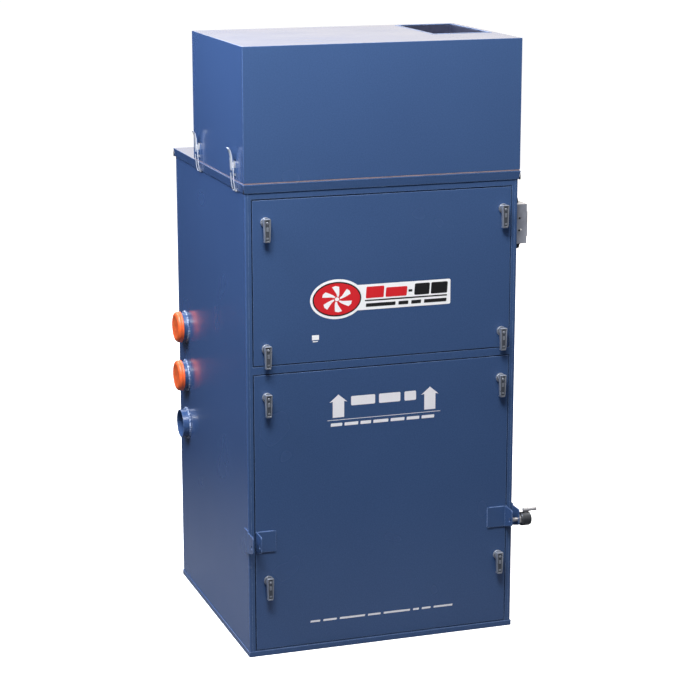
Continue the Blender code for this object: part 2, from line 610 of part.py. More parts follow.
def build_switch_box():
    """Steel outlet box with a cover, a paddle switch, a gland below and the motor lead above."""
    x0 = RIGHT + GAP
    low, high = (x0, BOX_FRONT, BOX_LOW), (x0 + BOX_DEEP, BOX_FRONT + BOX_WIDE, BOX_LOW + BOX_TALL)
    shell = folded(box("switch_box", low, high, GALVANISED, open_side=(1, 0, 0)), 0.0016)
    lead_x, mid_y = x0 + 0.034, BOX_FRONT + BOX_WIDE / 2
    cut(shell, rod("gland_hole", (lead_x, mid_y, BOX_LOW - 0.01), (lead_x, mid_y, BOX_LOW + 0.01), 0.0078, 20,
                   group=cutters))
    cut(shell, rod("lead_entry", (lead_x, mid_y, high[2] - 0.01), (lead_x, mid_y, high[2] + 0.01), 0.0036, 16,
                   group=cutters))
    for z in (BOX_LOW + 0.036, BOX_LOW + 0.066):
        cut(shell, rod(f"knockout_{z:.3f}", (lead_x, BOX_FRONT - 0.01, z), (lead_x, BOX_FRONT + 0.01, z), 0.0022,
                       12, group=cutters))

    face = high[0] + GAP
    window = (mid_y - 0.010, BOX_LOW + 0.022, mid_y + 0.010, BOX_LOW + 0.080)
    cover = box("switch_cover", (face, low[1], low[2]), (face + 0.0018, high[1], high[2]), GALVANISED)
    cut(cover, cutter("switch_window", (face - 0.01, window[0], window[1]), (face + 0.01, window[2], window[3])))

    paddle_x = face + 0.0018 + 0.0030
    pivot = (paddle_x + 0.0015, mid_y, BOX_LOW + 0.0755)
    paddle = box("switch_paddle", (paddle_x, mid_y - 0.016, BOX_LOW + 0.016),
                 (paddle_x + 0.0040, mid_y + 0.016, BOX_LOW + 0.0815), GALVANISED, origin=pivot)
    rocker = box("paddle_rocker", (face - 0.012, mid_y - 0.008, BOX_LOW + 0.060), (paddle_x + 0.001, mid_y + 0.008,
                                                                                BOX_LOW + 0.0765))
    soften(paddle, 0.001, 1)
    carry(empty("switch_paddle_axis", pivot), bake(join(paddle, rocker), GALVANISED))

    gland = [(0, 0.004), (0.0072, 0.004), (0.0072, -GAP - 0.0003), (0.0098, -GAP - 0.0003), (0.0098, -0.006),
             (0.0080, -0.0065), (0.0075, -0.013), (0.0055, -0.016), (0, -0.016)]
    turned("box_gland", gland, (lead_x, mid_y, BOX_LOW), (0, 0, 0), BLACK, 20, closed=False)

    hole_y, hole_z = LEAD_START
    route = [(RIGHT - 0.012, hole_y, hole_z), (RIGHT + 0.004, hole_y, hole_z), (RIGHT + 0.016, hole_y, hole_z + 0.0015),
             (RIGHT + 0.027, hole_y, hole_z - 0.003), (lead_x - 0.0005, mid_y, high[2] + 0.009),
             (lead_x, mid_y, high[2] - 0.010)]
    wire("motor_lead", smooth(route, 5), 0.0028, BLACK)


# ---------------------------------------------------------------- filter, shaker and drawer
def build_filter_plate():
    """Plate that parts dusty air from clean, with a slot for each filter pocket. Its front edge
    steps down behind the middle rail, clear of the latch cams."""
    side, back, front = WIDTH / 2 - SHEET - GAP, BACK - SHEET - GAP, SEAT_FACE + SHEET + 0.008
    plate = box("filter_plate", (-side, front, PLATE_Z), (side, back, PLATE_Z + 0.020), GALVANISED,
                open_side=(0, 0, 1))
    folded(plate, SHEET)
    plate = bake(plate, GALVANISED)
    for x in POCKET_PLACES:
        edge = POCKET_HALF + 0.003
        cut(plate, cutter(f"pocket_slot_{x}", (x - edge, POCKET_FRONT - 0.003, PLATE_Z - 0.01),
                          (x + edge, POCKET_BACK + 0.003, PLATE_Z + 0.01)))
    low = PLATE_Z - 0.043
    apron = box("plate_apron", (-side, front, low), (side, front + SHEET, PLATE_Z + 0.001))
    shelf = box("plate_shelf", (-side, SEAT_FACE + SHEET + 0.0005, low), (side, front + SHEET / 2, low + SHEET))
    join(plate, apron, shelf)


def build_filter():
    """Cloth filter of hanging pockets, open above, that lifts with the shaker frame below it."""
    top = PLATE_Z + SHEET + GAP
    bags = box("filter_pockets", (-0.262, POCKET_FRONT - 0.009, top), (0.262, POCKET_BACK + 0.009, top + SHEET), CLOTH)
    cloth, corner = 0.003, 0.010
    middle = ((POCKET_FRONT + POCKET_BACK) / 2, (POCKET_FOOT + top + 0.001) / 2)
    reach = (POCKET_HALF, (POCKET_BACK - POCKET_FRONT) / 2)
    outer = [(sx * (reach[0] - a), sy * (reach[1] - b)) for sx, sy, ends in
             ((1, 1, ((0, corner), (corner, 0))), (-1, 1, ((corner, 0), (0, corner))),
              (-1, -1, ((0, corner), (corner, 0))), (1, -1, ((corner, 0), (0, corner)))) for a, b in ends]
    for x in POCKET_PLACES:
        pocket = outline(f"pocket_{x}", outer, top + 0.001 - POCKET_FOOT, (x, *middle), (0, 0, 0), CLOTH)
        join(bags, pocket)
    for x in POCKET_PLACES:
        inside = POCKET_HALF - cloth - 0.004
        cut(bags, cutter(f"pocket_inside_{x}", (x - inside, POCKET_FRONT + cloth + 0.004, POCKET_FOOT + cloth),
                         (x + inside, POCKET_BACK - cloth - 0.004, top + 0.01)))

    bar, top_z = 0.012, POCKET_FOOT - GAP
    reach, front, back = POCKET_PLACES[-1] + 0.020, POCKET_FRONT - 0.020, POCKET_BACK - 0.020
    frame = box("shaker_frame", (-reach, front, top_z - bar), (reach, back, top_z), GALVANISED)
    edges = [-reach + bar, *[x + s * bar / 2 for x in POCKET_PLACES[1:-1] for s in (-1, 1)], reach - bar]
    for index in range(0, len(edges), 2):
        window = cutter(f"shaker_window_{index}", (edges[index], front + bar, top_z - 0.03),
                        (edges[index + 1], back - bar, top_z + 0.01))
        cut(frame, window)
    grip = [(-0.05, front + 0.004, top_z - 0.007), (-0.05, front - 0.022, top_z - 0.010),
            (0.05, front - 0.022, top_z - 0.010), (0.05, front + 0.004, top_z - 0.007)]
    join(frame, wire("shaker_grip", grip, 0.004, GALVANISED))
    carry(empty("filter_lift", (0, 0, top)), bags, frame)


def build_drawer():
    """Open dust drawer that stands on the base pan behind the lower door."""
    low, high = (-0.320, -0.292, SHEET + GAP), (0.320, 0.270, 0.165)
    drawer = folded(box("dust_drawer", low, high, GALVANISED, open_side=(0, 0, 1)), 0.0015)
    drawer = bake(drawer, GALVANISED)
    grip = [(-0.055, low[1] + 0.0008, 0.110), (-0.055, low[1] - 0.0065, 0.106), (0.055, low[1] - 0.0065, 0.106),
            (0.055, low[1] + 0.0008, 0.110)]
    join(drawer, wire("drawer_grip", grip, 0.0025, GALVANISED))
    carry(empty("dust_drawer_lift", (0, 0, low[2])), drawer)


# ---------------------------------------------------------------- blower
def build_blower_housing():
    """Round-bottomed fan casing that opens up to the outlet, with an inlet box on the deck."""
    top, wall = TOTAL_HEIGHT - SHEET - 0.0005, 0.002
    casing = rod("blower_housing", (SCROLL_LEFT, FAN_Y, FAN_Z), (SCROLL_RIGHT, FAN_Y, FAN_Z), SCROLL_RADIUS, 48,
                 GALVANISED)
    duct = box("casing_duct", (SCROLL_LEFT, FAN_Y - SCROLL_RADIUS, FAN_Z), (SCROLL_RIGHT, FAN_Y + SCROLL_RADIUS, top))
    box_low, box_high = (0.072, -0.118, CABINET_HEIGHT + GAP), (SCROLL_LEFT + 0.001, 0.058, 1.430)
    inlet = box("inlet_box", box_low, box_high)
    join(casing, duct, inlet)
    inner = SCROLL_RADIUS - wall
    cut(casing,
        rod("casing_inside", (SCROLL_LEFT + wall, FAN_Y, FAN_Z), (SCROLL_RIGHT - wall, FAN_Y, FAN_Z), inner, 48,
            group=cutters),
        cutter("duct_inside", (SCROLL_LEFT + wall, FAN_Y - inner, FAN_Z), (SCROLL_RIGHT - wall, FAN_Y + inner, top + 0.01)),
        cutter("inlet_inside", (box_low[0] + wall, box_low[1] + wall, box_low[2] - 0.01),
               (SCROLL_LEFT, box_high[1] - wall, box_high[2] - wall)),
        rod("fan_eye", (SCROLL_LEFT - 0.01, FAN_Y, FAN_Z), (SCROLL_LEFT + 0.01, FAN_Y, FAN_Z), 0.066, 32,
            group=cutters),
        rod("shaft_hole", (box_low[0] - 0.01, FAN_Y, FAN_Z), (box_low[0] + 0.01, FAN_Y, FAN_Z), 0.014, 20,
            group=cutters))


def build_fan_wheel():
    """Shaft, hub, back plate and curved blades with a front ring, turning about X."""
    axis = empty("fan_axis", (0.30, FAN_Y, FAN_Z))
    plate = rod("fan_wheel", (0.3000, FAN_Y, FAN_Z), (0.3030, FAN_Y, FAN_Z), 0.108, 36, GALVANISED)
    shaft = rod("fan_shaft", (0.0625, FAN_Y, FAN_Z), (0.3080, FAN_Y, FAN_Z), 0.009, 16)
    hub = rod("fan_hub", (0.2720, FAN_Y, FAN_Z), (0.3120, FAN_Y, FAN_Z), 0.020, 20)
    ring = rod("fan_ring", (0.2250, FAN_Y, FAN_Z), (0.2275, FAN_Y, FAN_Z), 0.108, 36)
    pieces = [shaft, hub]
    count, inner, outer, thick = 9, 0.066, 0.106, 0.0025
    for index in range(count):
        start = 2 * math.pi * index / count
        lean = math.radians(34)
        sheet = []
        for step in range(4):
            share_out = step / 3
            radius = inner + (outer - inner) * share_out
            sheet.append((radius, start - lean * share_out**0.8))
        edge_a = [(r * math.cos(a), r * math.sin(a)) for r, a in sheet]
        edge_b = [((r * math.cos(a + thick / r)), r * math.sin(a + thick / r)) for r, a in sheet]
        blade = outline(f"fan_blade_{index}", edge_a + edge_b[::-1], 0.0760, (0.2635, FAN_Y, FAN_Z),
                        (math.pi / 2, 0, math.pi / 2), GALVANISED)
        pieces.append(blade)
    join(plate, *pieces)
    parts.objects.unlink(ring)
    cutters.objects.link(ring)
    ring.hide_render = True
    ring.display_type = "WIRE"
    cut(ring, rod("ring_eye", (0.21, FAN_Y, FAN_Z), (0.24, FAN_Y, FAN_Z), 0.070, 32, group=cutters))
    combine(plate, ring, "UNION")
    carry(axis, plate)


def build_motor():
    """Foot-mounted motor with ribs, end bells, a cowl and a terminal box."""
    left, right, radius = -0.185, 0.040, 0.078
    body = rod("fan_motor", (left, FAN_Y, FAN_Z), (right, FAN_Y, FAN_Z), radius, 32, MOTOR)
    pieces = [rod("motor_cowl", (left - 0.045, FAN_Y, FAN_Z), (left + 0.004, FAN_Y, FAN_Z), radius + 0.004, 32),
              rod("motor_bell", (right - 0.004, FAN_Y, FAN_Z), (right + 0.018, FAN_Y, FAN_Z), radius - 0.012, 32),
              box("terminal_box", (-0.10, FAN_Y - 0.035, FAN_Z + radius - 0.008), (-0.03, FAN_Y + 0.035, FAN_Z + radius + 0.030)),
              box("motor_pedestal", (-0.150, FAN_Y - 0.050, CABINET_HEIGHT + 0.006), (0.000, FAN_Y + 0.050, FAN_Z - 0.050)),
              box("motor_feet", (-0.165, FAN_Y - 0.085, CABINET_HEIGHT + GAP), (0.015, FAN_Y + 0.085, CABINET_HEIGHT + 0.009))]
    for index in range(14):
        angle = 2 * math.pi * (index + 0.5) / 14
        rib = box(f"motor_rib_{index}", (left + 0.012, -0.0015, radius - 0.004), (right - 0.012, 0.0015, radius + 0.007),
                  origin=((left + right) / 2, 0, 0))
        rib.location = ((left + right) / 2, FAN_Y, FAN_Z)
        rib.rotation_euler = (angle, 0, 0)
        pieces.append(rib)
    join(body, *pieces)


# ---------------------------------------------------------------- assembly
build_base_pan()
build_panels()
build_door_frame()
build_top_deck()
build_hood()
upper = build_door("upper_door", UPPER_OPENING, LATCH_HEIGHTS["upper"])
lower = build_door("lower_door", LOWER_OPENING, LATCH_HEIGHTS["lower"])
build_latches("upper_door", LATCH_HEIGHTS["upper"], upper)
build_latches("lower_door", LATCH_HEIGHTS["lower"], lower)
build_clips()
build_inlets()
build_ears(lower)
build_lock()
build_switch_box()
build_filter_plate()
build_filter()
build_drawer()
build_blower_housing()
build_fan_wheel()
build_motor()
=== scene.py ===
"""Looks for the cabinet dust collector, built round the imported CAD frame. Metres, front towards -Y."""
import json
import math
import random

import bmesh
import bpy
from mathutils import Matrix, Vector

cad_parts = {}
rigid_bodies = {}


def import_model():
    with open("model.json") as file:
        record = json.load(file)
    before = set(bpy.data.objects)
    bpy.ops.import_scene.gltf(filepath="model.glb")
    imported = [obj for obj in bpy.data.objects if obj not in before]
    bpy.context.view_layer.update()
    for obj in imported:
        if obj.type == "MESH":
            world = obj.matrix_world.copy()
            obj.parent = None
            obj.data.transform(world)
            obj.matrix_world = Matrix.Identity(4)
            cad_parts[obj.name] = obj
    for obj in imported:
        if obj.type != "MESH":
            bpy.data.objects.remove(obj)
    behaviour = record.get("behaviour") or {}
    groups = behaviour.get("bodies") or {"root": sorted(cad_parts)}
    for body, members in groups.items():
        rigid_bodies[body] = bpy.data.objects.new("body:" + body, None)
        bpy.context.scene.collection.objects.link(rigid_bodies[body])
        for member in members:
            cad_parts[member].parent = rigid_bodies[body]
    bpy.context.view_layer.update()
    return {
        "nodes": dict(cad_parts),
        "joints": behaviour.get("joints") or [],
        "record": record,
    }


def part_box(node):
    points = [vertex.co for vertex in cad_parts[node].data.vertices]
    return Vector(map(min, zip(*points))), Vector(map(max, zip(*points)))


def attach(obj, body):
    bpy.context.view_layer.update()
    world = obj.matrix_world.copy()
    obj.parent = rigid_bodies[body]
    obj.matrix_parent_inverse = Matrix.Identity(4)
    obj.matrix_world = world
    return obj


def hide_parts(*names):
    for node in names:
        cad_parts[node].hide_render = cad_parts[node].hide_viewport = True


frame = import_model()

nodes = frame["nodes"]
node_body = {n: b for b, ns in frame["record"]["behaviour"]["bodies"].items() for n in ns}
node_slot = {s["node"]: s["material_slot"] for s in frame["record"]["subparts"]}
random.seed(11)


# ------------------------------------------------------------------ material helpers
class Graph:
    """A short way to write a material's nodes."""

    def __init__(self, name):
        self.material = bpy.data.materials.new(name)
        self.material.use_nodes = True
        self.tree = self.material.node_tree
        self.shader = self.tree.nodes["Principled BSDF"]
        self.coords = self.tree.nodes.new("ShaderNodeTexCoord").outputs["Object"]

    def node(self, kind, **settings):
        made = self.tree.nodes.new(f"ShaderNode{kind}")
        for key, value in settings.items():
            setattr(made, key, value)
        return made

    def link(self, source, target):
        self.tree.links.new(source, target)
        return source

    def put(self, socket, value):
        """Sets a socket to a number or colour, or links an output to it."""
        if isinstance(value, bpy.types.NodeSocket):
            self.link(value, socket)
        elif isinstance(value, (tuple, list)) and len(value) == 3 and socket.type == "RGBA":
            socket.default_value = (*value, 1.0)
        else:
            socket.default_value = value

    def scaled(self, scale):
        mapping = self.node("Mapping")
        self.link(self.coords, mapping.inputs["Vector"])
        mapping.inputs["Scale"].default_value = scale
        return mapping.outputs[0]

    def noise(self, scale, detail=2.0, rough=0.5, coords=None):
        made = self.node("TexNoise")
        self.link(coords or self.coords, made.inputs["Vector"])
        for key, value in (("Scale", scale), ("Detail", detail), ("Roughness", rough)):
            made.inputs[key].default_value = value
        return made.outputs["Fac"]

    def voronoi(self, scale):
        made = self.node("TexVoronoi", feature="F1")
        self.link(self.coords, made.inputs["Vector"])
        made.inputs["Scale"].default_value = scale
        return made.outputs["Distance"]

    def wave(self, scale, direction, distortion):
        made = self.node("TexWave", bands_direction=direction)
        self.link(self.coords, made.inputs["Vector"])
        made.inputs["Scale"].default_value = scale
        made.inputs["Distortion"].default_value = distortion
        return made.outputs["Fac"]

    def range(self, value, low, high, to_low=0.0, to_high=1.0):
        made = self.node("MapRange")
        sockets = ("Value", "From Min", "From Max", "To Min", "To Max")
        for key, amount in zip(sockets, (value, low, high, to_low, to_high)):
            self.put(made.inputs[key], amount)
        return made.outputs[0]

    def math(self, operation, a, b=0.0):
        made = self.node("Math", operation=operation)
        self.put(made.inputs[0], a)
        self.put(made.inputs[1], b)
        return made.outputs[0]

    def mix(self, factor, a, b):
        made = self.node("Mix", data_type="RGBA")
        self.put(made.inputs[0], factor)
        self.put(made.inputs[6], a)
        self.put(made.inputs[7], b)
        return made.outputs[2]

    def bump(self, height, strength, distance, below=None):
        made = self.node("Bump")
        self.link(height, made.inputs["Height"])
        made.inputs["Strength"].default_value = strength
        made.inputs["Distance"].default_value = distance
        if below is not None:
            self.link(below, made.inputs["Normal"])
        return made.outputs[0]

    def edges(self, radius):
        """1 on edges and corners, 0 on flat ground."""
        rounded = self.node("Bevel", samples=4)
        rounded.inputs["Radius"].default_value = radius
        flat = self.node("NewGeometry").outputs["Normal"]
        dot = self.node("VectorMath", operation="DOT_PRODUCT")
        self.link(rounded.outputs[0], dot.inputs[0])
        self.link(flat, dot.inputs[1])
        return self.range(dot.outputs["Value"], 0.985, 0.80)

    def principled(self, **inputs):
        for key, value in inputs.items():
            self.put(self.shader.inputs[key.replace("_", " ")], value)
        return self.material


def enamel(name, dark, light, roughness=0.24, coat=0.35):
    """Sprayed gloss enamel: orange peel, slow drift of colour, and a painted highlight along the folds and edges."""
    g = Graph(name)
    drift = g.noise(2.1, 2, 0.5)
    colour = g.mix(g.range(drift, 0.2, 0.8), dark, light)
    grain = g.noise(330, 2, 0.6)
    colour = g.mix(g.range(grain, 0.35, 0.75, 0.0, 0.18), colour,
                   tuple(min(1, c * 1.9 + 0.01) for c in light))
    # painted highlight: a paler blue laid in patches along folds and edges, where rounded edges would catch the
    # light
    edge = g.math("MULTIPLY", g.edges(0.0020), g.range(g.noise(70, 3, 0.6), 0.30, 0.62, 0.30, 0.95))
    colour = g.mix(edge, colour, (0.205, 0.300, 0.500))
    scuff = g.range(g.noise(6, 2, 0.5), 0.2, 0.8, roughness - 0.03, roughness + 0.05)
    panel = g.bump(g.noise(3.2, 1, 0.4), 0.35, 0.004)
    peel = g.bump(g.noise(230, 2, 0.5), 0.10, 0.0006, panel)
    fine = g.bump(g.voronoi(520), 0.035, 0.0004, peel)
    return g.principled(Base_Color=colour, Roughness=scuff, Normal=fine, Coat_Weight=coat,
                        Coat_Roughness=0.16, IOR=1.5)


def plated(name, colour, roughness, grain=900, cast=False, tarnish=0.25, metal=1.0):
    """Zinc, chrome or galvanised steel, with a fine grain, dull patches and a painted highlight along the edges."""
    g = Graph(name)
    patches = g.noise(26, 4, 0.6)
    deep = tuple(c * (1 - tarnish) for c in colour)
    base = g.mix(g.range(patches, 0.35, 0.65), deep, colour)
    # painted highlight: paler metal along edges and corners
    edge = g.math("MULTIPLY", g.edges(0.0008), 0.6)
    base = g.mix(edge, base, tuple(min(1, c * 1.35 + 0.10) for c in colour))
    rough = g.range(g.noise(60, 4, 0.6), 0.3, 0.7, roughness - 0.06, roughness + 0.08)
    height = g.noise(grain, 3, 0.6)
    normal = g.bump(height, 0.18 if cast else 0.06, 0.0004)
    return g.principled(Base_Color=base, Roughness=rough, Normal=normal, Metallic=metal)


def spangled(name, colour, contrast=0.30):
    """Galvanised sheet with its crystal spangle."""
    g = Graph(name)
    cells = g.node("TexVoronoi", feature="F1")
    g.link(g.coords, cells.inputs["Vector"])
    cells.inputs["Scale"].default_value = 95
    tint = g.node("RGBToBW")
    g.link(cells.outputs["Color"], tint.inputs[0])
    base = g.mix(tint.outputs[0], tuple(c * (1 - contrast) for c in colour),
                 tuple(min(1, c * (1 + 0.4 * contrast)) for c in colour))
    rough = g.range(tint.outputs[0], 0.2, 0.8, 0.48 - 0.4 * contrast, 0.48 + 0.2 * contrast)
    normal = g.bump(g.noise(420, 3, 0.6), 0.07, 0.0004)
    return g.principled(Base_Color=base, Roughness=rough, Normal=normal, Metallic=0.92)


def moulded(name, colour, roughness, depth=0.08, glow=0.0):
    """Moulded plastic with a fine spark-eroded grain and a painted highlight along its edges."""
    g = Graph(name)
    base = g.mix(g.range(g.noise(14, 3, 0.6), 0.3, 0.7), tuple(c * 0.86 for c in colour), colour)
    # painted highlight: paler plastic along edges and corners
    edge = g.math("MULTIPLY", g.edges(0.0012), 0.35)
    base = g.mix(edge, base, tuple(min(1, c * 1.35 + 0.03) for c in colour))
    rough = g.range(g.noise(40, 4, 0.6), 0.3, 0.7, roughness - 0.05, roughness + 0.08)
    normal = g.bump(g.noise(700, 2, 0.5), depth, 0.0004)
    if glow:
        return g.principled(Base_Color=base, Roughness=rough, Normal=normal, Subsurface_Weight=glow,
                            Subsurface_Scale=0.003)
    return g.principled(Base_Color=base, Roughness=rough, Normal=normal)


def foam(name, colour):
    g = Graph(name)
    cells = g.voronoi(620)
    base = g.mix(g.range(cells, 0.0, 0.7), tuple(c * 0.6 for c in colour), colour)
    normal = g.bump(cells, 0.5, 0.0006)
    return g.principled(Base_Color=base, Roughness=0.86, Normal=normal)


def cloth(name, colour):
    """Napped cotton: warp and weft, slubs, and grey dust towards the foot."""
    g = Graph(name)
    warp = g.wave(520, "X", 0.6)
    weft = g.wave(520, "Z", 0.6)
    weave = g.math("MULTIPLY", warp, weft)
    slub = g.noise(38, 4, 0.6, coords=g.scaled((1, 1, 0.12)))
    base = g.mix(g.range(weave, 0.0, 1.0), tuple(c * 0.80 for c in colour), colour)
    base = g.mix(g.range(slub, 0.45, 0.75, 0.0, 0.35), base, tuple(c * 0.70 for c in colour))
    height = g.node("SeparateXYZ")
    g.link(g.coords, height.inputs[0])
    dust = g.math("MULTIPLY", g.range(height.outputs["Z"], 0.70, 0.27, 0.0, 0.55),
                  g.range(g.noise(12, 5, 0.7), 0.35, 0.65, 0.3, 1.0))
    base = g.mix(dust, base, (0.36, 0.29, 0.20))
    normal = g.bump(weave, 0.35, 0.0007, g.bump(slub, 0.25, 0.002))
    return g.principled(Base_Color=base, Roughness=0.93, Normal=normal, Sheen_Weight=0.35, Sheen_Roughness=0.5)


def printed(name, colour, roughness=0.42):
    """Screen-printed ink or label film, with small misses at its edges."""
    g = Graph(name)
    misses = g.range(g.noise(300, 3, 0.7), 0.35, 0.75, 0.0, 0.35)
    base = g.mix(misses, colour, tuple(c * 0.82 for c in colour))
    normal = g.bump(g.noise(420, 2, 0.5), 0.06, 0.0003)
    rough = g.range(g.noise(60, 3, 0.6), 0.3, 0.7, roughness - 0.05, roughness + 0.08)
    return g.principled(Base_Color=base, Roughness=rough, Normal=normal)


def sealant(name, paint, bare):
    """Lumpy weld and sealer under paint, with pale misses."""
    g = Graph(name)
    lumps = g.noise(160, 4, 0.6)
    misses = g.range(g.noise(210, 3, 0.75), 0.50, 0.58)
    base = g.mix(misses, g.mix(g.range(lumps, 0.3, 0.7), tuple(c * 0.75 for c in paint), paint), bare)
    return g.principled(Base_Color=base, Roughness=0.45, Normal=g.bump(lumps, 0.5, 0.001))


BLUE = enamel("blue_enamel", (0.0335, 0.068, 0.162), (0.0390, 0.079, 0.184))
# painted highlight: a lighter copy of the cabinet enamel, for the painted-over welds and rivet heads
LIT_BLUE_SEAM = enamel("blue_enamel_seam_lit", (0.060, 0.115, 0.270), (0.085, 0.145, 0.310), 0.34, 0.2)
GASKET = foam("hood_foam", (0.30, 0.215, 0.225))
FOAM = foam("door_foam", (0.050, 0.048, 0.050))
ZINC = plated("zinc_casting", (0.37, 0.40, 0.46), 0.32, cast=True, metal=0.60)
# painted shade: a dark copy of the zinc casting for the sunk face of the lever blade
ZINC_RECESS_SHADE = plated("zinc_recess", (0.080, 0.090, 0.110), 0.50, cast=True, metal=0.3)
CHROME = plated("bright_plate", (0.84, 0.85, 0.87), 0.20, tarnish=0.10, metal=0.50)
STEEL = plated("turned_steel", (0.60, 0.59, 0.60), 0.28, metal=0.6)
SPANGLE = spangled("galvanised_sheet", (0.50, 0.52, 0.55))
# painted shade and painted reflection: galvanised sheet made dark and blue, as the casing looks in the shade down
# the outlet with the blue walls mirrored in it
SHADED_CASING = spangled("fan_casing_sheet_shaded", (0.105, 0.115, 0.185), 0.10)
BOX_STEEL = plated("box_steel", (0.60, 0.62, 0.70), 0.36, metal=0.45)
LOCK_STEEL = plated("lock_body_steel", (0.085, 0.090, 0.098), 0.30, metal=0.6)
ORANGE = moulded("orange_polyethylene", (0.80, 0.125, 0.030), 0.36, 0.05, 0.08)
BLACK = moulded("black_nylon", (0.012, 0.012, 0.014), 0.42)
LEAD = moulded("black_lead_jacket", (0.018, 0.018, 0.020), 0.5)
MOTOR = enamel("motor_enamel", (0.060, 0.065, 0.070), (0.075, 0.080, 0.086), 0.40, 0.1)
CLOTH = cloth("filter_cotton", (0.62, 0.585, 0.50))
THREAD = cloth("seam_thread", (0.50, 0.46, 0.38))
WHITE_INK = printed("white_ink", (0.78, 0.77, 0.80))
RED_INK = printed("red_ink", (0.60, 0.015, 0.022))
BLACK_INK = printed("black_ink", (0.010, 0.010, 0.011))
LABEL_FILM = printed("white_label_film", (0.86, 0.86, 0.87), 0.30)
CAULK = sealant("collar_caulk", (0.050, 0.095, 0.230), (0.60, 0.66, 0.76))
DARK = moulded("gap_shadow", (0.006, 0.007, 0.010), 0.8)
SLOT_FINISH = {"blue_paint": BLUE, "zinc": ZINC, "chrome": CHROME, "galvanised": SPANGLE,
               "orange_plastic": ORANGE, "black_plastic": BLACK, "foam_rubber": FOAM,
               "filter_cloth": CLOTH, "motor_paint": MOTOR}
HERE = Matrix.Identity(4)


# ------------------------------------------------------------------ mesh helpers
SHARP_FROM = math.radians(38)
BEVEL_FROM = math.radians(32)


def smooth(mesh):
    for face in mesh.polygons:
        face.use_smooth = True
    mesh.set_sharp_from_angle(angle=SHARP_FROM)


def piece(name, mesh, material, body, bevel=0.0, segments=2):
    """A visible piece in the frame's metres. It rides on a CAD body."""
    made = bpy.data.objects.new(name, mesh)
    bpy.context.scene.collection.objects.link(made)
    mesh.materials.clear()
    mesh.materials.append(material)
    if bevel:
        edge = made.modifiers.new("edges", "BEVEL")
        edge.width = bevel
        edge.segments = segments
        edge.limit_method = "ANGLE"
        edge.angle_limit = BEVEL_FROM
        edge.harden_normals = True
    smooth(mesh)
    if bevel:
        level = made.modifiers.new("flat faces stay flat", "WEIGHTED_NORMAL")
        level.weight = 100
        level.keep_sharp = True
    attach(made, body)
    return made


def mesh_of(bm, name):
    bmesh.ops.recalc_face_normals(bm, faces=bm.faces)
    mesh = bpy.data.meshes.new(name)
    bm.to_mesh(mesh)
    bm.free()
    return mesh


def refine(node, width, segments=2, material=None):
    """The CAD node's own shape with its triangles dissolved and its edges rounded, shown in its place."""
    bm = bmesh.new()
    bm.from_mesh(nodes[node].data)
    bmesh.ops.remove_doubles(bm, verts=bm.verts, dist=1e-6)
    bmesh.ops.dissolve_limit(bm, angle_limit=math.radians(0.6), verts=bm.verts, edges=bm.edges)
    slot = node_slot[node]
    made = piece(f"{node}_shown", mesh_of(bm, node), material or SLOT_FINISH[slot], node_body[node],
                 width, segments)
    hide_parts(node)
    return made


def tube_mesh(name, points, radius, sides=10, cyclic=False):
    """A round tube along points."""
    points = [Vector(p) for p in points]
    count = len(points)
    bm = bmesh.new()
    rings, side = [], None
    for i, point in enumerate(points):
        before = points[i - 1] if i or cyclic else point
        after = points[(i + 1) % count] if i < count - 1 or cyclic else point
        along = (after - before).normalized()
        if side is None:
            side = along.orthogonal().normalized()
        side = (side - along * side.dot(along)).normalized()
        other = along.cross(side)
        rings.append([bm.verts.new(point + radius * (math.cos(a) * side + math.sin(a) * other))
                      for a in (2 * math.pi * k / sides for k in range(sides))])
    spans = count if cyclic else count - 1
    for i in range(spans):
        close_loop(bm, rings[i], rings[(i + 1) % count])
    if not cyclic:
        bm.faces.new(rings[0][::-1])
        bm.faces.new(rings[-1])
    return mesh_of(bm, name)


def turned_bmesh(profile, steps=48, ripple=None):
    """A solid or ring of revolution about local Z from a closed (radius, height) profile."""
    bm = bmesh.new()
    rings = []
    for step in range(steps):
        angle = 2 * math.pi * step / steps
        ring = []
        for radius, height in profile:
            if ripple:
                radius, height = ripple(radius, height, angle)
            ring.append(bm.verts.new((radius * math.cos(angle), radius * math.sin(angle), height)))
        rings.append(ring)
    count = len(profile)
    for step in range(steps):
        a, b = rings[step], rings[(step + 1) % steps]
        for k in range(count):
            bm.faces.new((a[k], b[k], b[(k + 1) % count], a[(k + 1) % count]))
    bmesh.ops.remove_doubles(bm, verts=bm.verts, dist=1e-6)
    return bm


def towards(direction):
    """A rotation that takes local Z to a direction."""
    return Vector(direction).to_track_quat("Z", "Y").to_matrix().to_4x4()


def facing(at, direction):
    """A place for a shape made on local Z: moved to a point and turned to a direction."""
    return Matrix.Translation(at) @ towards(direction)


def turned_piece(name, profile, at, direction, material, body, steps, ripple):
    bm = turned_bmesh(profile, steps, ripple)
    bm.transform(facing(at, direction))
    return piece(name, mesh_of(bm, name), material, body)


def close_loop(bm, a, b):
    """Quads between two rings of as many points."""
    for k in range(len(a)):
        j = (k + 1) % len(a)
        bm.faces.new((a[k], a[j], b[j], b[k]))


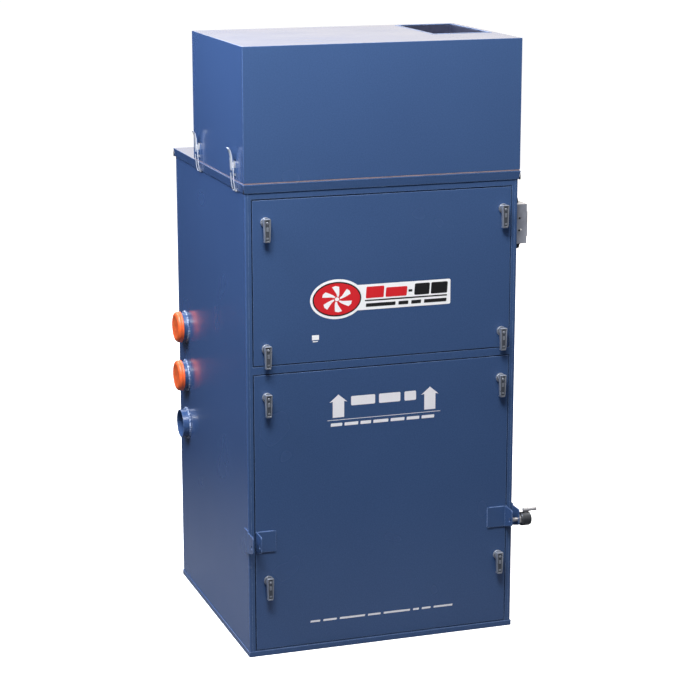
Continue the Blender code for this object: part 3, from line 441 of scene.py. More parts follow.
def rivet_bmesh(radius, height, rings=3, sides=16):
    """A domed head on local Z with a thin skirt."""
    profile = [(0, -0.0004)] + [(radius, -0.0004), (radius, height * 0.15)]
    for k in range(1, rings + 1):
        angle = math.pi / 2 * k / (rings + 1)
        profile.append((radius * math.cos(angle) * 0.98, height * (0.15 + 0.85 * math.sin(angle))))
    profile.append((0, height))
    bm = bmesh.new()
    rows = []
    for r, z in profile:
        if r == 0:
            rows.append([bm.verts.new((0, 0, z))])
        else:
            rows.append([bm.verts.new((r * math.cos(a), r * math.sin(a), z))
                         for a in (2 * math.pi * k / sides for k in range(sides))])
    for a, b in zip(rows, rows[1:]):
        for k in range(sides):
            j = (k + 1) % sides
            quad = [a[k % len(a)], a[j % len(a)], b[j % len(b)], b[k % len(b)]]
            bm.faces.new(list(dict.fromkeys(quad)))
    return bm


def gather(name, placed, material, body, bevel=0.0):
    """Many small shapes as one piece. placed holds (bmesh, matrix) pairs."""
    whole = bmesh.new()
    for shape, matrix in placed:
        shape.transform(matrix)
        part = bpy.data.meshes.new("part")
        shape.to_mesh(part)
        shape.free()
        whole.from_mesh(part)
        bpy.data.meshes.remove(part)
    return piece(name, mesh_of(whole, name), material, body, bevel)


def screw_bmesh(radius, height):
    """A pan head with a raised cross, on local Z."""
    bm = rivet_bmesh(radius, height, 3, 20)
    deep = height * 0.45
    for long, short in ((radius * 0.62, radius * 0.13), (radius * 0.13, radius * 0.62)):
        bmesh.ops.create_cube(bm, size=1, matrix=Matrix.Translation((0, 0, height - deep / 2 + 0.0002))
                              @ Matrix.Diagonal((2 * long, 2 * short, deep * 0.9, 1)))
    return bm


def slab_bmesh(low, high):
    low, high = Vector(low), Vector(high)
    bm = bmesh.new()
    bmesh.ops.create_cube(bm, size=1, matrix=Matrix.Translation((low + high) / 2)
                          @ Matrix.Diagonal((*(high - low), 1)))
    return bm


def flat_shape(name, outlines, y, thickness, material, body):
    """Thin print in front of y, on a door's face. Each outline of (x, z) points is filled on its own."""
    bm = bmesh.new()
    for points in outlines:
        front = [bm.verts.new((x, y - thickness, z)) for x, z in points]
        back = [bm.verts.new((x, y, z)) for x, z in points]
        bm.faces.new(front)
        bm.faces.new(back[::-1])
        for k in range(len(points)):
            j = (k + 1) % len(points)
            bm.faces.new((front[k], front[j], back[j], back[k]))
    return piece(name, mesh_of(bm, name), material, body)


def oval(x, z, rx, rz, count):
    return [(x + rx * math.cos(a), z + rz * math.sin(a)) for a in (2 * math.pi * k / count for k in range(count))]


def bar(x0, x1, z0, z1, lean=0.0, radius=0.0):
    """A word-length bar. lean shears its top along X."""
    if radius == 0:
        return [(x0, z0), (x1, z0), (x1 + lean, z1), (x0 + lean, z1)]
    points = []
    for cx, cz, start in ((x1 - radius, z0 + radius, -90), (x1 - radius, z1 - radius, 0),
                          (x0 + radius, z1 - radius, 90), (x0 + radius, z0 + radius, 180)):
        for k in range(4):
            a = math.radians(start + 30 * k)
            points.append((cx + radius * math.cos(a) + lean * (cz - z0) / (z1 - z0), cz + radius * math.sin(a)))
    return points


# ------------------------------------------------------------------ cabinet
lip_low, lip_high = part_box("top_deck")
hood_low, hood_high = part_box("hood_shell")
pan_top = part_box("base_pan")[1].z
LEFT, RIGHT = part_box("left_panel")[0].x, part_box("right_panel")[1].x
FRONT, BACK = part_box("door_frame")[0].y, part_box("back_panel")[1].y

for name, width in (("base_pan", 0.0008), ("left_panel", 0.0004), ("right_panel", 0.0004),
                    ("back_panel", 0.0006), ("door_frame", 0.0008), ("top_deck", 0.0007),
                    ("hood_shell", 0.0008), ("upper_door", 0.0006), ("lower_door", 0.0006),
                    ("left_door_ear", 0.0005), ("right_door_ear", 0.0005),
                    ("left_frame_ear", 0.0005), ("right_frame_ear", 0.0005)):
    refine(name, width)


def corner_fold(name, x, y, sx, sy, low, high):
    """Rounded vertical fold that carries the side sheet round to the front or back."""
    reach, thick, radius = 0.0075, 0.00035, 0.0022
    inside = radius - thick - 0.0006
    outer, inner = [(x + sx * thick, y - sy * reach)], [(x, y - sy * reach)]
    cx, cy = x + sx * (thick - radius), y + sy * (thick - radius)
    for k in range(6):
        angle = math.pi / 2 * k / 5
        for row, r in ((outer, radius), (inner, inside)):
            row.append((cx + sx * r * math.cos(angle), cy + sy * r * math.sin(angle)))
    outer.append((x - sx * reach, y + sy * thick))
    inner.append((x - sx * reach, y))
    bm = bmesh.new()
    ring = outer + inner[::-1]
    rows = [[bm.verts.new((px, py, z)) for px, py in ring] for z in (low, high)]
    close_loop(bm, *rows)
    count, half = len(ring), len(outer)
    for row in rows:
        for k in range(half - 1):
            bm.faces.new((row[k], row[k + 1], row[count - 2 - k], row[count - 1 - k]))
    return piece(name, mesh_of(bm, name), BLUE, "cabinet")


for label, x, y, sx, sy in (("front_left", LEFT, FRONT, -1, -1), ("front_right", RIGHT, FRONT, 1, -1),
                            ("back_left", LEFT, BACK, -1, 1), ("back_right", RIGHT, BACK, 1, 1)):
    corner_fold(f"cabinet_fold_{label}", x, y, sx, sy, pan_top - 0.004, lip_low.z + 0.004)

refine("hood_gasket", 0.0006, material=GASKET)
refine("upper_door_gasket", 0.0012)
refine("lower_door_gasket", 0.0012)

# painted shadow: dark wedges that stand for the shade in the open notches at the deck's corners, where the skirt's
# two folds meet
notch_top, notch_foot, notch_half = lip_high.z - 0.0045, lip_low.z - 0.0003, 0.0011
placed = []
for sx in (-1, 1):
    for y, sy in ((lip_low.y, -1), (lip_high.y, 1)):
        x = lip_high.x * sx
        bm = bmesh.new()
        verts = [bm.verts.new(p) for p in (
            (x + sx * 0.00025, y - sy * notch_half, notch_foot), (x - sx * notch_half, y + sy * 0.00025, notch_foot),
            (x - sx * 0.0035, y - sy * 0.0035, notch_foot), (x + sx * 0.0001, y + sy * 0.0001, notch_top))]
        bm.faces.new((verts[0], verts[1], verts[3]))
        bm.faces.new((verts[1], verts[2], verts[3]))
        bm.faces.new((verts[2], verts[0], verts[3]))
        bm.faces.new((verts[2], verts[1], verts[0]))
        placed.append((bm, HERE))
gather("deck_corner_notch_shadows", placed, DARK, "cabinet")


WELD_PITCH = 0.0026


def weld_line(name, start, end, radius, body):
    """A painted weld bead with its ripples, laid along a line."""
    start, end = Vector(start), Vector(end)
    steps = max(8, int((end - start).length / WELD_PITCH))
    along = (end - start).normalized()
    side = along.orthogonal().normalized()
    other = along.cross(side)
    bm = bmesh.new()
    rings = []
    for k in range(steps * 2 + 1):
        t = k / (steps * 2)
        swell = radius * (1.0 if k % 2 else 0.72) * (0.35 if k in (0, steps * 2) else 1)
        wander = Vector((random.uniform(-1, 1), random.uniform(-1, 1), random.uniform(-1, 1))) * radius * 0.10
        centre = start.lerp(end, t) + wander
        rings.append([bm.verts.new(centre + swell * (math.cos(a) * side + math.sin(a) * other))
                      for a in (2 * math.pi * n / 8 for n in range(8))])
    for a, b in zip(rings, rings[1:]):
        close_loop(bm, a, b)
    bm.faces.new(rings[0][::-1])
    bm.faces.new(rings[-1])
    return piece(name, mesh_of(bm, name), LIT_BLUE_SEAM, body)


for side in ("left", "right"):
    low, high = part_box(f"{side}_door_ear")
    face = high.y
    edge = high.x if side == "left" else low.x
    weld_line(f"{side}_door_ear_weld_side", (edge, face - 0.0006, low.z + 0.002),
              (edge, face - 0.0006, high.z - 0.002), 0.0011, "lower_door")
    for place, z in (("top", high.z - 0.001), ("foot", low.z + 0.001)):
        weld_line(f"{side}_door_ear_weld_{place}", (low.x + 0.006, face - 0.0008, z),
                  (high.x - 0.006, face - 0.0008, z), 0.0010, "lower_door")
    low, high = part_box(f"{side}_frame_ear")
    x = low.x if side == "right" else high.x
    weld_line(f"{side}_frame_ear_weld", (x, high.y - 0.0004, low.z + 0.003),
              (x, high.y - 0.0004, high.z - 0.003), 0.0011, "cabinet")

# pop rivets on the back panel and along the foot of the hood's back
spots = [(x, 0.06 + 0.1085 * k) for k in range(11) for x in (LEFT + 0.012, RIGHT - 0.012)]
spots += [(LEFT + 0.07 + 0.0952 * k, 0.026) for k in range(7)]
placed = [(rivet_bmesh(0.0032, 0.0012), facing((x, BACK, z), (0, 1, 0))) for x, z in spots]
gather("back_panel_rivets", placed, LIT_BLUE_SEAM, "cabinet")
placed = [(rivet_bmesh(0.0030, 0.0011), facing((x, hood_high.y, hood_low.z + 0.012), (0, 1, 0)))
          for x in (LEFT + 0.04 + 0.0902 * k for k in range(8))]
gather("hood_back_rivets", placed, LIT_BLUE_SEAM, "cabinet")

# folded rim round the exhaust outlet, just proud of the hood's top sheet
OUTLET_LOW, OUTLET_HIGH = Vector((0.1916, -0.1649)), Vector((0.3432, 0.1063))
RIM_WIDE, RIM_TALL, RIM_SUNK = 0.004, 0.0009, 0.0002
bm = bmesh.new()
near, far = OUTLET_LOW, OUTLET_HIGH
for x0, x1, y0, y1 in ((near.x - RIM_WIDE, far.x + RIM_WIDE, near.y - RIM_WIDE, near.y),
                       (near.x - RIM_WIDE, far.x + RIM_WIDE, far.y, far.y + RIM_WIDE),
                       (near.x - RIM_WIDE, near.x, near.y, far.y), (far.x, far.x + RIM_WIDE, near.y, far.y)):
    middle = ((x0 + x1) / 2, (y0 + y1) / 2, hood_high.z + RIM_TALL / 2 - RIM_SUNK)
    bmesh.ops.create_cube(bm, size=1, matrix=Matrix.Translation(middle)
                          @ Matrix.Diagonal((x1 - x0, y1 - y0, RIM_TALL, 1)))
piece("outlet_rim", mesh_of(bm, "outlet_rim"), BLUE, "cabinet", 0.0003, 1)


# ------------------------------------------------------------------ inlets
SEAL_PROFILE = [(0.0388, 0.0002), (0.0430, 0.0002), (0.0432, 0.0010), (0.0418, 0.0022), (0.0394, 0.0034),
                (0.0386, 0.0036)]
CAP_CLEAR = 0.0065  # from the CAD cap's inner end to the shown cap's
CAP_INNER = 0.0388


def weld_ripple(radius, height, angle):
    amount = 0.5 + 0.5 * math.sin(angle * 46) * math.sin(angle * 7 + 1.1)
    return radius + 0.0007 * amount, height + 0.0004 * amount


for place in ("top", "middle", "bottom"):
    refine(f"inlet_collar_{place}", 0.0004)
    low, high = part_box(f"inlet_collar_{place}")
    centre = Vector((LEFT, (low.y + high.y) / 2, (low.z + high.z) / 2))
    turned_piece(f"inlet_seal_{place}", SEAL_PROFILE, centre, (-1, 0, 0), CAULK, "cabinet", 140,
                 weld_ripple)

for place in ("top", "middle"):
    node = f"inlet_cap_{place}"
    low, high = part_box(node)
    centre = Vector((high.x - CAP_CLEAR, (low.y + high.y) / 2, (low.z + high.z) / 2))
    deep, wide = high.x - low.x - CAP_CLEAR, (high.y - low.y) / 2

    def grip(radius, height, angle, deep=deep):
        """Shallow scallops round the skirt to pull on."""
        if radius > CAP_INNER + 0.0012 and 0.003 < height < deep - 0.006:
            radius -= 0.00035 * (0.5 + 0.5 * math.cos(angle * 30))
        return radius, height

    profile = [(CAP_INNER, 0.0), (wide - 0.0012, 0.0), (wide - 0.0002, 0.0008), (wide, 0.0022),
               (wide - 0.0008, 0.0034), (wide - 0.0009, 0.0050), (wide - 0.0004, 0.0090),
               (wide - 0.0002, deep * 0.55), (wide - 0.0008, deep - 0.0065), (wide - 0.0022, deep - 0.0038),
               (wide - 0.0044, deep - 0.0018), (wide - 0.0075, deep - 0.0007),
               (wide - 0.0115, deep - 0.0003), (wide - 0.0135, deep - 0.0010), (wide - 0.0150, deep - 0.0016),
               (0.0120, deep - 0.0014), (0.0060, deep - 0.0012), (0.0045, deep - 0.0020), (0.0, deep - 0.0020),
               (0.0, deep - 0.0045), (CAP_INNER - 0.003, deep - 0.0045), (CAP_INNER, deep - 0.0075)]
    cap = turned_piece(f"{node}_shown", profile, centre, (-1, 0, 0), ORANGE, node, 120, grip)
    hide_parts(node)


# ------------------------------------------------------------------ latches
CAM_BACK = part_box("upper_door_latch_left_top_handle")[1].y
CAM_FRONT = CAM_BACK - 0.0035


def prism(outline, low, high, place):
    """A closed prism: outline points go through place(a, b, out) at two depths."""
    bm = bmesh.new()
    rows = [[bm.verts.new(place(a, b, out)) for a, b in outline] for out in (low, high)]
    close_loop(bm, *rows)
    bm.faces.new(rows[0][::-1])
    bm.faces.new(rows[1])
    return bm


def lever_shapes(at):
    """Die-cast lever: round neck, square-shouldered blade with a raised rim, curled tip, stem and cam."""
    x, y, z = at
    turn = facing(at, (0, -1, 0))
    neck = [(0, 0.0056), (0.0086, 0.0056), (0.0090, 0.0062), (0.0090, 0.0130), (0, 0.0130)]
    shapes = [(turned_bmesh(neck, 28), turn),
              (turned_bmesh([(0, -0.0345), (0.0049, -0.0345), (0.0049, 0.0070), (0, 0.0070)], 20), turn),
              (turned_bmesh([(0, 0.0195), (0.0034, 0.0195), (0.0034, 0.0213), (0.0026, 0.0219), (0, 0.0219)], 20),
               turn)]
    rim, rear, face, dip = 0.0019, 0.0118, 0.0222, 0.0018
    bm = bmesh.new()
    rows = []
    for dz, half, lift, sunk in ((0.0100, 0.0076, -0.0007, 0), (0.0094, 0.0086, 0, 0), (0.0080, 0.0088, 0, 0),
                                 (0.0073, 0.0088, 0, dip), (-0.0120, 0.0083, 0, dip), (-0.0300, 0.0076, 0, dip),
                                 (-0.0400, 0.0071, -0.0003, dip), (-0.0434, 0.0069, -0.0005, dip),
                                 (-0.0441, 0.0068, -0.0006, 0), (-0.0466, 0.0066, -0.0010, 0),
                                 (-0.0478, 0.0056, -0.0024, 0)):
        top = face + lift
        rows.append([bm.verts.new((x + px, y - out, z + dz)) for px, out in (
            (-half, rear), (-half, top - 0.0008), (-half + 0.0005, top), (-half + rim, top),
            (-half + rim + 0.0006, top - sunk), (half - rim - 0.0006, top - sunk), (half - rim, top),
            (half - 0.0005, top), (half, top - 0.0008), (half, rear))])
    for a, b in zip(rows, rows[1:]):
        for k in range(len(a)):
            j = (k + 1) % len(a)
            bm.faces.new((a[k], b[k], b[j], a[j]))
    bm.faces.new(rows[0])
    bm.faces.new(rows[-1][::-1])
    shapes.append((bm, HERE))
    for dz, tall in ((-0.0150, 0.0100), (-0.0370, 0.0040)):
        shapes.append((slab_bmesh((x - 0.0030, y - face + dip - 0.0010, z + dz - tall / 2),
                                  (x + 0.0030, y - face + dip + 0.0004, z + dz + tall / 2)), HERE))
    curl = [(-0.0440, 0.0188), (-0.0476, 0.0184), (-0.0482, 0.0120), (-0.0482, 0.0046), (-0.0460, 0.0044),
            (-0.0458, 0.0100), (-0.0434, 0.0162)]
    shapes.append((prism(curl, -0.0052, 0.0052, lambda dz, out, px: (x + px, y - out, z + dz)), HERE))
    cam = [(-0.008, 0.006), (-0.008, -0.026), (-0.005, -0.030), (0.005, -0.030), (0.008, -0.026), (0.008, 0.006),
           (0.004, 0.009), (-0.004, 0.009)]
    shapes.append((prism(cam, CAM_FRONT, CAM_BACK, lambda px, pz, out: (x + px, out, z + pz)), HERE))
    nut = turned_bmesh([(0, 0), (0.0072, 0), (0.0072, 0.0036), (0, 0.0036)], 6)
    shapes.append((nut, facing((x, CAM_BACK + 0.0034, z), (0, -1, 0))))
    return shapes


# bezel with a deep lip behind the blade, and the sleeve that carries the stem through the door
BEZEL = [(0.0096, 0.0002), (0.0118, 0.0002), (0.0121, 0.0010), (0.0121, 0.0048), (0.0114, 0.0060),
         (0.0102, 0.0062), (0.0096, 0.0056)]
SLEEVE = [(0.0054, -0.0150), (0.0089, -0.0150), (0.0089, 0.0004), (0.0099, 0.0004), (0.0099, 0.0030),
          (0.0054, 0.0030)]
latch_joints = {j["child"]: j for j in frame["joints"] if j["name"].endswith("_turn")}
for body, joint in latch_joints.items():
    at = Vector(joint["pos_m"])
    door = joint["parent"]
    handle = gather(f"{body}_lever", lever_shapes(at), ZINC, body, 0.0003)
    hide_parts(f"{body}_handle")
    # painted shade: a dark zinc sheet laid in the blade's sunk face
    web = slab_bmesh((at.x - 0.0049, at.y - 0.02065, at.z - 0.0425), (at.x + 0.0049, at.y - 0.0200, at.z + 0.0072))
    gather(f"{body}_recess", [(web, HERE)], ZINC_RECESS_SHADE, body)
    placed = [(turned_bmesh(profile, 36), facing(at, (0, -1, 0))) for profile in (BEZEL, SLEEVE)]
    housing = gather(f"{body}_bezel", placed, ZINC, door, 0.0002)
    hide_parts(f"{body}_housing")

# ------------------------------------------------------------------ hood clips
CLIP_WALL = 0.3595  # x of the hood's side
for side, sign in (("left", -1), ("right", 1)):
    wall = sign * CLIP_WALL
    for place in ("front", "rear"):
        name = f"clip_{side}_{place}"
        refine(f"{name}_lever", 0.0005)
        refine(f"{name}_loop", 0.0)
        pivot = Vector(next(j for j in frame["joints"] if j["name"] == f"{name}_lever_swing")["pos_m"])
        placed = [(rivet_bmesh(0.0019, 0.0009, 2, 12),
                   facing((wall + sign * 0.0012, pivot.y + dy, pivot.z + 0.0125), (sign, 0, 0)))
                  for dy in (-0.0050, 0.0050)]
        gather(f"{name}_rivets", placed, CHROME, "cabinet")
        pin = turned_bmesh([(0, -0.0108), (0.0016, -0.0108), (0.0016, 0.0108), (0, 0.0108)], 12)
        gather(f"{name}_pin", [(pin, facing(pivot, (0, 1, 0)))], CHROME, "cabinet", 0.0002)
        # bright base plate over the painted bracket
        x0, x1 = sorted((wall + sign * 0.0011, wall + sign * 0.0015))
        plate = slab_bmesh((x0, pivot.y - 0.0095, pivot.z - 0.0155), (x1, pivot.y + 0.0095, pivot.z + 0.0185))
        gather(f"{name}_plate", [(plate, HERE)], CHROME, "cabinet", 0.0001)

# ------------------------------------------------------------------ lock
refine("lock_nut", 0.0005, material=STEEL)
refine("lock_barrel", 0.0004, material=LOCK_STEEL)
refine("lock_bolt", 0.0006, material=STEEL)

# ------------------------------------------------------------------ switch box
refine("switch_box", 0.0006, material=BOX_STEEL)
refine("switch_cover", 0.0004, material=BOX_STEEL)
refine("switch_paddle", 0.0006, material=BOX_STEEL)
refine("box_gland", 0.0004)
refine("motor_lead", 0.0, 1, LEAD)
box_low, box_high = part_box("switch_box")
cover_low, cover_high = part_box("switch_cover")
middle_y = (box_low.y + box_high.y) / 2
placed, shadows = [], []
hole_x = box_low.x + 0.62 * (box_high.x - box_low.x)
for z in (box_high.z - 0.0356, box_high.z - 0.0670):
    for y, face in ((box_low.y, -1), (box_high.y, 1)):
        place = facing((hole_x, y, z), (0, face, 0))
        placed.append((turned_bmesh([(0.0030, 0), (0.0040, 0), (0.0038, 0.0003), (0.0031, 0.0003)], 28), place))
        shadows.append((turned_bmesh([(0, 0), (0.0031, 0), (0.0031, 0.0002), (0, 0.0002)], 28), place))
gather("switch_box_hole_rims", placed, BOX_STEEL, "cabinet")
# painted shade: dark discs inside the hole rims stand for the shade in the holes
gather("switch_box_hole_shadows", shadows, DARK, "cabinet")
placed = [(screw_bmesh(0.0034, 0.0016), facing((cover_high.x, middle_y, z), (1, 0, 0)))
          for z in (cover_low.z + 0.0085, cover_high.z - 0.0085)]
gather("switch_cover_screws", placed, STEEL, "cabinet")
paddle_low, paddle_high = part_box("switch_paddle")
ring = turned_bmesh([(0.0085, 0), (0.0105, 0), (0.0105, 0.0005), (0.0085, 0.0005)], 32)
place = facing((paddle_high.x - 0.0001, middle_y, paddle_low.z + 0.024), (1, 0, 0))
gather("paddle_ring", [(ring, place)], STEEL, "switch_paddle")

# ------------------------------------------------------------------ prints on the doors
upper_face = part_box("upper_door")[0].y
lower_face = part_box("lower_door")[0].y
film, ink = 0.00025, 0.00015
# plain label: an oval with a fan and a panel with bars, on one white backing
badge = (-0.123, 0.910)
door = "upper_door"
flat_shape("door_label_backing_oval", [oval(*badge, 0.0698, 0.0500, 48)], upper_face, film, LABEL_FILM, door)
flat_shape("door_label_backing_panel", [bar(-0.125, 0.177, 0.878, 0.942, 0.0, 0.004)], upper_face, film * 0.92,
           LABEL_FILM, door)
y = upper_face - film
flat_shape("door_label_oval_rim", [oval(*badge, 0.0635, 0.0435, 48)], y, ink, BLACK_INK, door)
flat_shape("door_label_oval", [oval(*badge, 0.0600, 0.0400, 48)], y - ink, ink, RED_INK, door)
BLADE = ((0.006, 0.0), (0.012, 0.16), (0.020, 0.30), (0.028, 0.38), (0.030, 0.62), (0.029, 0.86), (0.021, 0.80),
         (0.012, 0.62), (0.006, 0.52))  # radius and angle
blades = [[(badge[0] + 1.35 * r * math.cos(start + a), badge[1] + 1.12 * r * math.sin(start + a)) for r, a in BLADE]
          for start in (k * math.pi / 3 for k in range(6))]
flat_shape("door_label_fan", blades + [oval(*badge, 0.0056, 0.0048, 20)], y - 2 * ink, ink, LABEL_FILM, door)
flat_shape("door_label_red_bars", [bar(-0.048, -0.001, 0.907, 0.936, 0.002, 0.003),
                                   bar(0.004, 0.060, 0.907, 0.931, 0.002, 0.003)], y, ink, RED_INK, door)
flat_shape("door_label_black_bars",
           [bar(0.065, 0.075, 0.916, 0.922, 0, 0.0012), bar(0.080, 0.120, 0.907, 0.936, 0.002, 0.003),
            bar(0.124, 0.168, 0.907, 0.936, 0.002, 0.003), bar(-0.050, 0.168, 0.8995, 0.9030)],
           y, ink, BLACK_INK, door)
flat_shape("door_label_small_bars",
           [bar(a, b, 0.885, 0.894, 0.001, 0.0015)
            for a, b in ((-0.048, 0.030), (0.038, 0.064), (0.072, 0.098), (0.106, 0.166))],
           y, ink, BLACK_INK, door)
flat_shape("door_tag", [bar(-0.188, -0.170, 0.811, 0.823), bar(-0.186, -0.173, 0.8060, 0.8080)], upper_face, film,
           LABEL_FILM, door)


def arrow(x, foot):
    high, wide = 0.059, 0.047
    shaft, head = wide * 0.32, high * 0.70
    return [(x - shaft, foot), (x + shaft, foot), (x + shaft, foot + head), (x + wide / 2, foot + head - 0.002),
            (x, foot + high), (x - wide / 2, foot + head - 0.002), (x - shaft, foot + head)]


def bar_row(start, widths, gap, z0, z1, lean, radius):
    """Bars of these widths one after another, for a line of small print."""
    row, x = [], start
    for width in widths:
        row.append(bar(x, x + width, z0, z1, lean, radius))
        x += width + gap
    return row


titles = [bar(a, b, 0.636, 0.660, 0, 0.003) for a, b in ((-0.086, -0.0225), (-0.012, 0.045), (0.056, 0.087))]
notice = bar_row(-0.140, (0.030, 0.036, 0.028, 0.040, 0.037, 0.034, 0.034), 0.0062, 0.5855, 0.5935, 0.0008, 0.0014)
foot_line = bar_row(-0.196, (0.026, 0.036, 0.068, 0.034, 0.072, 0.016, 0.024, 0.052), 0.0085, 0.0735, 0.0785,
                    0.0015, 0.0010)
for name, outlines, thickness in (("arrows", [arrow(-0.1195, 0.608), arrow(0.1245, 0.608)], ink),
                                  ("title_bars", titles, ink),
                                  ("rule", [bar(-0.148, 0.153, 0.6010, 0.6022)], ink),
                                  ("small_bars", notice, ink), ("foot_bars", foot_line, ink * 0.8)):
    flat_shape(f"lower_door_{name}", outlines, lower_face, thickness, WHITE_INK, "lower_door")

# ------------------------------------------------------------------ inside
for name, width in (("filter_plate", 0.0005), ("shaker_frame", 0.0006), ("dust_drawer", 0.0004),
                    ("fan_wheel", 0.0003), ("fan_motor", 0.0012)):
    refine(name, width)
# the fan casing takes the dark blue galvanised copy: painted shade and painted reflection
refine("blower_housing", 0.0005, material=SHADED_CASING)


def build_pockets():
    """Sewn cotton pockets: each wall hangs in soft folds between its seams and closes in a flat foot."""
    low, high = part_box("filter_pockets")
    bm = bmesh.new()
    places = (-0.21, -0.07, 0.07, 0.21)
    half, front, back, foot, top = 0.0325, -0.2195, 0.2395, low.z + 0.0004, high.z - 0.0004
    columns, rows = 56, 34
    corner = 0.012

    def loop(t, inset):
        """A point round the pocket's rounded rectangle, for t from 0 to 1."""
        hx, hy = half - inset, (back - front) / 2 - inset
        cy = (back + front) / 2
        length = 4 * (hx + hy)
        d = (t % 1.0) * length
        corners = ((hx, -hy), (hx, hy), (-hx, hy), (-hx, -hy))
        for (ax, ay), (bx, by) in zip(corners, corners[1:] + corners[:1]):
            side = abs(bx - ax) + abs(by - ay)
            if d <= side:
                f = d / side
                px, py = ax + (bx - ax) * f, ay + (by - ay) * f
                break
            d -= side
        px = max(-hx, min(hx, px))
        over_x, over_y = abs(px) - (hx - corner), abs(py) - (hy - corner)
        if over_x > 0 and over_y > 0:
            scale = corner / max(corner, math.hypot(over_x, over_y))
            px = math.copysign(hx - corner + over_x * scale, px)
            py = math.copysign(hy - corner + over_y * scale, py)
        return px, py + cy

    for index, x in enumerate(places):
        phase = index * 1.7
        outer = []
        for r in range(rows + 1):
            v = r / rows
            z = foot + (top - 0.0016 - foot) * v
            ring = []
            for c in range(columns):
                t = c / columns
                fold = 0.5 + 0.5 * math.sin(t * 2 * math.pi * 9 + phase + 0.8 * math.sin(v * 5 + phase))
                sag = math.sin(math.pi * min(1, v * 1.15)) ** 0.7
                close = 1 - min(1, v / 0.05)
                inset = 0.0003 + 0.0036 * fold * sag * (1 - 0.3 * v) + 0.007 * close
                px, py = loop(t, inset)
                ring.append(bm.verts.new((x + px, py, z)))
            outer.append(ring)
        for a, b in zip(outer, outer[1:]):
            close_loop(bm, a, b)
        bm.faces.new(outer[0][::-1])
    mesh = mesh_of(bm, "filter_pockets")
    made = piece("filter_pocket_cloth", mesh, CLOTH, "filter")
    thick = made.modifiers.new("cloth", "SOLIDIFY")
    thick.thickness = 0.0016
    thick.offset = -1
    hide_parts("filter_pockets")
    # top cloth with its four mouths
    edges_x = [low.x, *[e for x in places for e in (x - half + 0.001, x + half - 0.001)], high.x]
    under = high.z - 0.0019
    slabs = [(slab_bmesh((low.x, low.y, under), (high.x, front + 0.001, high.z)), HERE),
             (slab_bmesh((low.x, back - 0.001, under), (high.x, high.y, high.z)), HERE)]
    slabs += [(slab_bmesh((a, front + 0.001, under), (b, back - 0.001, high.z)), HERE)
              for a, b in zip(edges_x[0::2], edges_x[1::2])]
    gather("filter_top_cloth", slabs, CLOTH, "filter", 0.0004)
    # seam cords round each mouth and down each front edge
    cords = []
    for index, x in enumerate(places):
        mouth = [(x + px, py, high.z - 0.0002) for px, py in (loop(k / 60, -0.0022) for k in range(60))]
        cords.append(tube_mesh("seam", mouth, 0.0011, 6, True))
        for side in (-1, 1):
            line = [(x + side * (half - 0.0062) + 0.0005 * math.sin(k * 1.9 + index),
                     front + 0.0006 + 0.0012 * abs(math.sin(k * 0.7 + side)),
                     foot + 0.012 + (top - foot - 0.020) * k / 40) for k in range(41)]
            cords.append(tube_mesh("seam", line, 0.0008, 6))
    seams = []
    for cord in cords:
        bm = bmesh.new()
        bm.from_mesh(cord)
        seams.append((bm, HERE))
    gather("filter_seams", seams, THREAD, "filter")


build_pockets()

# ------------------------------------------------------------------ stage, light, camera
floor_mesh = bpy.data.meshes.new("floor")
bm = bmesh.new()
bmesh.ops.create_grid(bm, x_segments=2, y_segments=2, size=60)
bm.to_mesh(floor_mesh)
bm.free()
floor = bpy.data.objects.new("floor", floor_mesh)
floor.location.z = -0.0003
bpy.context.scene.collection.objects.link(floor)
g = Graph("pale_floor")
rays = g.node("LightPath").outputs["Is Camera Ray"]
pale = g.mix(g.range(g.noise(0.8, 3, 0.5), 0.3, 0.7), (0.93, 0.93, 0.935), (0.95, 0.95, 0.955))
reach = g.node("VectorMath", operation="LENGTH")
g.link(g.coords, reach.inputs[0])
bounce = g.mix(g.range(reach.outputs["Value"], 0.5, 1.7), (0.105, 0.110, 0.125), (0.010, 0.012, 0.018))
glow = g.math("MULTIPLY", rays, 0.62)
floor_mesh.materials.append(g.principled(Base_Color=g.mix(rays, bounce, pale), Roughness=0.8,
                                         Specular_IOR_Level=0.1, Emission_Color=(1.0, 1.0, 1.0),
                                         Emission_Strength=glow))

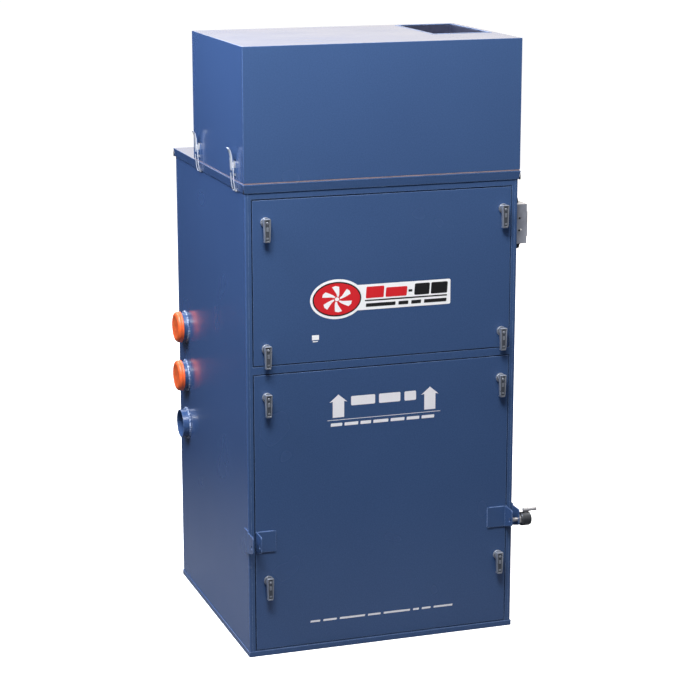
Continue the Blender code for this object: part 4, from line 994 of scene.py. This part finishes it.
world = bpy.data.worlds.new("studio")
bpy.context.scene.world = world
world.use_nodes = True
tree = world.node_tree
back = tree.nodes["Background"]
coords = tree.nodes.new("ShaderNodeTexCoord")
split = tree.nodes.new("ShaderNodeSeparateXYZ")
tree.links.new(coords.outputs["Generated"], split.inputs[0])
ramp = tree.nodes.new("ShaderNodeValToRGB")
tree.links.new(split.outputs["Z"], ramp.inputs[0])
ramp.color_ramp.elements[0].position = 0.0
ramp.color_ramp.elements[0].color = (0.10, 0.12, 0.17, 1)
ramp.color_ramp.elements[1].position = 0.8
ramp.color_ramp.elements[1].color = (0.56, 0.545, 0.52, 1)
path = tree.nodes.new("ShaderNodeLightPath")
seen = tree.nodes.new("ShaderNodeMix")
seen.data_type = "RGBA"
tree.links.new(path.outputs["Is Camera Ray"], seen.inputs[0])
tree.links.new(ramp.outputs[0], seen.inputs[6])
seen.inputs[7].default_value = (1.0, 1.0, 1.0, 1)
tree.links.new(seen.outputs[2], back.inputs["Color"])
back.inputs["Strength"].default_value = 1.0


def softbox(name, at, target, size, power, colour=(1, 1, 1)):
    lamp = bpy.data.lights.new(name, "AREA")
    lamp.shape = "RECTANGLE"
    lamp.size, lamp.size_y = size
    lamp.energy = power
    lamp.color = colour
    made = bpy.data.objects.new(name, lamp)
    made.location = at
    made.rotation_euler = (Vector(target) - Vector(at)).to_track_quat("-Z", "Y").to_euler()
    made.visible_camera = False
    bpy.context.scene.collection.objects.link(made)


softbox("overhead", (0.0, 0.2, 4.2), (0, 0.1, 0), (3.0, 3.0), 60, (1.0, 0.93, 0.86))
softbox("sweep", (3.4, 6.0, 3.0), (1.2, 0, 1.4), (7.0, 3.4), 82, (1.0, 0.85, 0.60))
softbox("key", (-0.8, -1.8, 3.3), (0, 0, 1.4), (1.3, 1.0), 140)
softbox("left_fill", (-1.8, -0.2, 2.9), (-0.3, 0, 1.6), (1.2, 1.2), 118, (0.72, 0.81, 1.0))
softbox("right_fill", (2.7, 0.3, 2.8), (0.3, 0, 1.0), (1.6, 1.6), 58)
softbox("back_fill", (-1.0, 2.9, 3.0), (0, 0.3, 0.9), (1.6, 1.6), 52)

camera_data = bpy.data.cameras.new("camera")
camera_data.lens = 109.37
camera_data.sensor_width = 36
camera_data.clip_end = 200
camera = bpy.data.objects.new("camera", camera_data)
camera.location = (-1.7534, -5.1907, 2.0104)
camera.rotation_euler = (math.radians(90 - 13.489), 0, math.radians(-18.913))
bpy.context.scene.collection.objects.link(camera)
bpy.context.scene.camera = camera
bpy.context.scene.view_settings.view_transform = "Standard"
